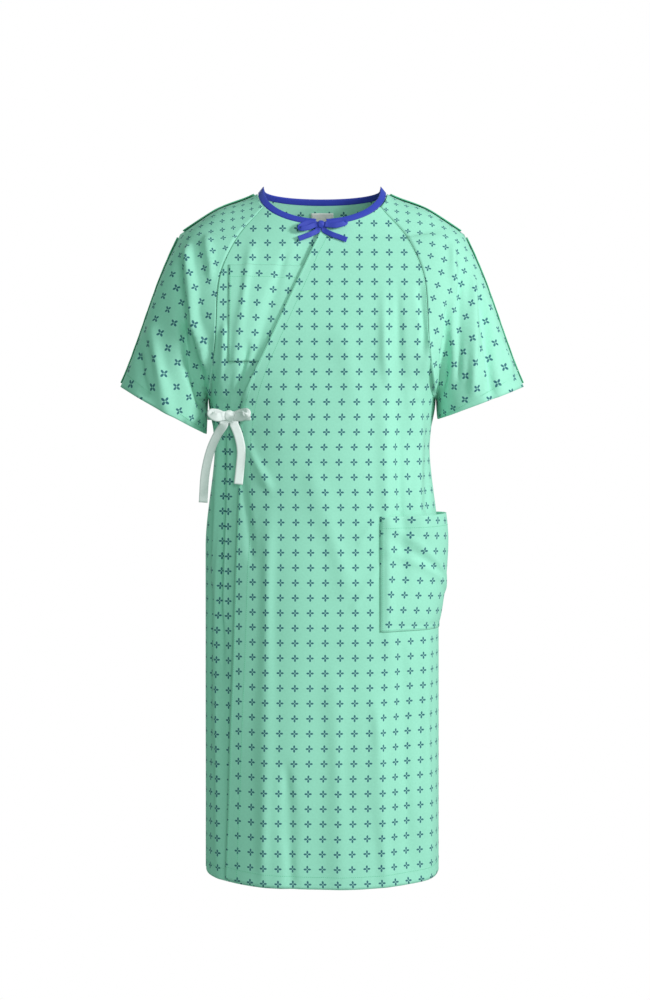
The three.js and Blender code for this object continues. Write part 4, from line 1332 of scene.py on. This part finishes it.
def scatter(tree, out, points, instance, rotation, material, **how):
    """Puts an instance on each point, and ends the tree with real meshes in one material."""
    laid = put(tree, "GeometryNodeInstanceOnPoints", Points=points, Instance=instance,
               Rotation=rotation, **how)
    real = put(tree, "GeometryNodeRealizeInstances", Geometry=laid.outputs[0])
    done = put(tree, "GeometryNodeSetMaterial", Geometry=real.outputs[0], Material=material)
    tree.links.new(done.outputs[0], out["Geometry"])


def stitch_tree():
    ins = [("Pitch", "NodeSocketFloat", 3.2 * MM), ("Stitch Length", "NodeSocketFloat", 2.3 * MM),
           ("Thread Radius", "NodeSocketFloat", THREAD), ("Thread", "NodeSocketMaterial", None)]
    tree, given, out = geometry_tree("stitch_rows", ins)
    curve = put(tree, "GeometryNodeMeshToCurve", Mesh=given["Geometry"])
    rows = put(tree, "GeometryNodeResampleCurve", {"mode": "LENGTH"}, Curve=curve.outputs[0],
               Length=given["Pitch"])
    stitch = put(tree, "GeometryNodeMeshUVSphere", Segments=6, Rings=5, Radius=1.0)
    way = put(tree, "GeometryNodeInputTangent")
    lie = put(tree, "FunctionNodeAlignRotationToVector", {"axis": "X"}, Vector=way.outputs[0])
    half = put(tree, "ShaderNodeMath", {"operation": "MULTIPLY"}, i0=given["Stitch Length"], i1=0.5)
    radius = given["Thread Radius"]
    size = put(tree, "ShaderNodeCombineXYZ", X=half.outputs[0], Y=radius, Z=radius)
    scatter(tree, out, rows.outputs[0], stitch.outputs[0], lie.outputs[0], given["Thread"],
            Scale=size.outputs[0])
    return tree


def snap_tree():
    ins = [("Radius", "NodeSocketFloat", 4.6 * MM), ("Dome", "NodeSocketFloat", 1.6 * MM),
           ("Metal", "NodeSocketMaterial", None)]
    tree, given, out = geometry_tree("snap_rows", ins)
    rim = put(tree, "GeometryNodeMeshCylinder", Vertices=32, Radius=given["Radius"], Depth=0.7 * MM)
    ball = put(tree, "GeometryNodeMeshUVSphere", Segments=32, Rings=16, Radius=1.0)
    inner = put(tree, "ShaderNodeMath", {"operation": "MULTIPLY"}, i0=given["Radius"], i1=0.8)
    shape = put(tree, "ShaderNodeCombineXYZ", X=inner.outputs[0], Y=inner.outputs[0], Z=given["Dome"])
    dome = put(tree, "GeometryNodeTransform", Geometry=ball.outputs[0], Scale=shape.outputs[0])
    both = put(tree, "GeometryNodeJoinGeometry")
    tree.links.new(rim.outputs[0], both.inputs[0])
    tree.links.new(dome.outputs[0], both.inputs[0])
    facing = put(tree, "GeometryNodeInputNamedAttribute", {"data_type": "FLOAT_VECTOR"}, Name="facing")
    turned = put(tree, "FunctionNodeAlignRotationToVector", {"axis": "Z"}, Vector=facing.outputs[0])
    scatter(tree, out, given["Geometry"], both.outputs[0], turned.outputs[0], given["Metal"])
    return tree


def grown(name, seed, tree, values, material, slot_name):
    """Runs a tree on a seed mesh and keeps the result as a plain mesh."""
    source = linked(f"{name}_seed", seed)
    run = source.modifiers.new("rows", "NODES")
    run.node_group = tree
    for item in tree.interface.items_tree:
        if item.in_out == "INPUT" and item.name in values:
            run[item.identifier] = values[item.name]
    shown = source.evaluated_get(bpy.context.evaluated_depsgraph_get())
    mesh = bpy.data.meshes.new_from_object(shown)
    bpy.data.objects.remove(source)
    mesh.name = name
    mesh.materials.clear()
    mesh.materials.append(material)
    mesh.shade_smooth()
    made = linked(name, mesh)
    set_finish(made, slot_name)
    return made


stitch_rows = stitch_tree()
snap_rows = snap_tree()


def sew(name, lines, material=None, **values):
    points, edges = [], []
    for line in lines:
        first = len(points)
        points += [tuple(p) for p in line]
        edges += [(first + k, first + k + 1) for k in range(len(line) - 1)]
    seed = bpy.data.meshes.new(f"{name}_line")
    seed.from_pydata(points, edges, [])
    return grown(name, seed, stitch_rows, {"Thread": material or green_thread, **values},
                 material or green_thread, "printed_cloth")


def on_top(points, normals, depth=CLOTH / 2 + 0.1 * MM):
    return points + normals * depth


def sew_panels():
    front = on_top(front_points, front_normals)
    start = NECK_STEPS + 2
    seam_rows = slice(3, CHEST_STEPS + NECK_STEPS)
    lines = [front[HEM_STITCH_ROW, 1:-1], front[start:, FACING_COLUMNS - 1], front[start:, 1],
             front[seam_rows, -2]]
    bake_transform(sew("outer_front_stitches", lines))
    under = on_top(under_points, under_normals)
    chest = on_top(chest_points, chest_normals)
    lines = [under[HEM_STITCH_ROW, 1:-1], under[seam_rows, 1], chest[1:, 1],
             chest[CHEST_HEM_ROWS - 1, 1:-1]]
    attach(sew("under_front_stitches", lines), "gown")
    rear = on_top(back_points, back_normals)
    lines = [rear[HEM_STITCH_ROW, 1:-1], rear[seam_rows, 1], rear[seam_rows, -2]]
    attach(sew("back_stitches", lines), "gown")
    hip = on_top(hip_points, hip_normals)
    lines = [hip[1:-1, 1], hip[1:-1, -2], hip[-2, 1:-1], hip[HIP_HEM_ROWS - 1, 1:-1]]
    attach(sew("hip_pocket_stitches", lines), "gown")
    label = label_points - label_normals * 0.4 * MM
    fine = {"Pitch": 2.2 * MM, "Stitch Length": 1.5 * MM}
    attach(sew("label_stitches", [label[1:-1, 1], label[1:-1, -2]], **fine), "gown")


def sew_sleeves():
    for word, side in (("right", -1), ("left", 1)):
        lines = [on_top(*sleeve_grids[word, half])[HEM_STITCH_ROW, 1:-1] for half in ("front", "back")]
        made = sew(f"{word}_sleeve_stitches", lines)
        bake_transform(made)
        for part in ("shoulder", "sleeve"):
            points, normals = flap_grids[word, part]
            top = on_top(points, normals, 0.85 * MM)
            made = sew(f"{word}_{part}_placket_stitches", [top[1:-1, 2], top[1:-1, -2]])
            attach(made, f"{word}_{part}_flap")


def sew_neck():
    for name, (middle, lower, normal), bend in (("front_neck_stitches", front_band, wrap_bend),
                                                ("right_neck_stitches", right_band, None),
                                                ("back_neck_stitches", back_band, None)):
        line = lerp(middle, lower, 0.72) + normal * 1.15 * MM
        made = sew(name, [line[1:-1]], blue_thread)
        if bend:
            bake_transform(made)
        else:
            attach(made, "gown")


def nearest_normal(grid, place):
    points, normals = grid
    gap = np.linalg.norm(points - place, axis=-1)
    return normals[np.unravel_index(np.argmin(gap), gap.shape)]


def snap_row(word, part, half, count, body, stand):
    """One row of snap halves, each on its node's place and turned as the flap is there."""
    nodes = [f"{word}_{part}_snap_{half}_{k + 1}" for k in range(count)]
    places, facings = [], []
    for node in nodes:
        low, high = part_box(node)
        place = rounded((np.array(low) + np.array(high)) / 2)
        facing = nearest_normal(flap_grids[word, part], place)
        places.append(place + facing * stand)
        facings.append(facing)
    seed = bpy.data.meshes.new(f"{word}_{part}_{half}_places")
    seed.from_pydata([tuple(p) for p in places], [], [])
    layer = seed.attributes.new("facing", "FLOAT_VECTOR", "POINT")
    layer.data.foreach_set("vector", np.array(facings, np.float32).ravel())
    name = f"{word}_{part}_snap_{half}s"
    made = grown(name, seed, snap_rows, {"Metal": snap_metal}, snap_metal, "snap_metal")
    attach(made, body)
    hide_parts(*nodes)


def set_snaps():
    for word in ("right", "left"):
        for part, count, under_body in (("shoulder", 3, "gown"), ("sleeve", 2, f"{word}_sleeve")):
            snap_row(word, part, "cap", count, f"{word}_{part}_flap", 0.9 * MM)
            snap_row(word, part, "stud", count, under_body, 0.5 * MM)


sew_panels()
sew_sleeves()
sew_neck()
set_snaps()
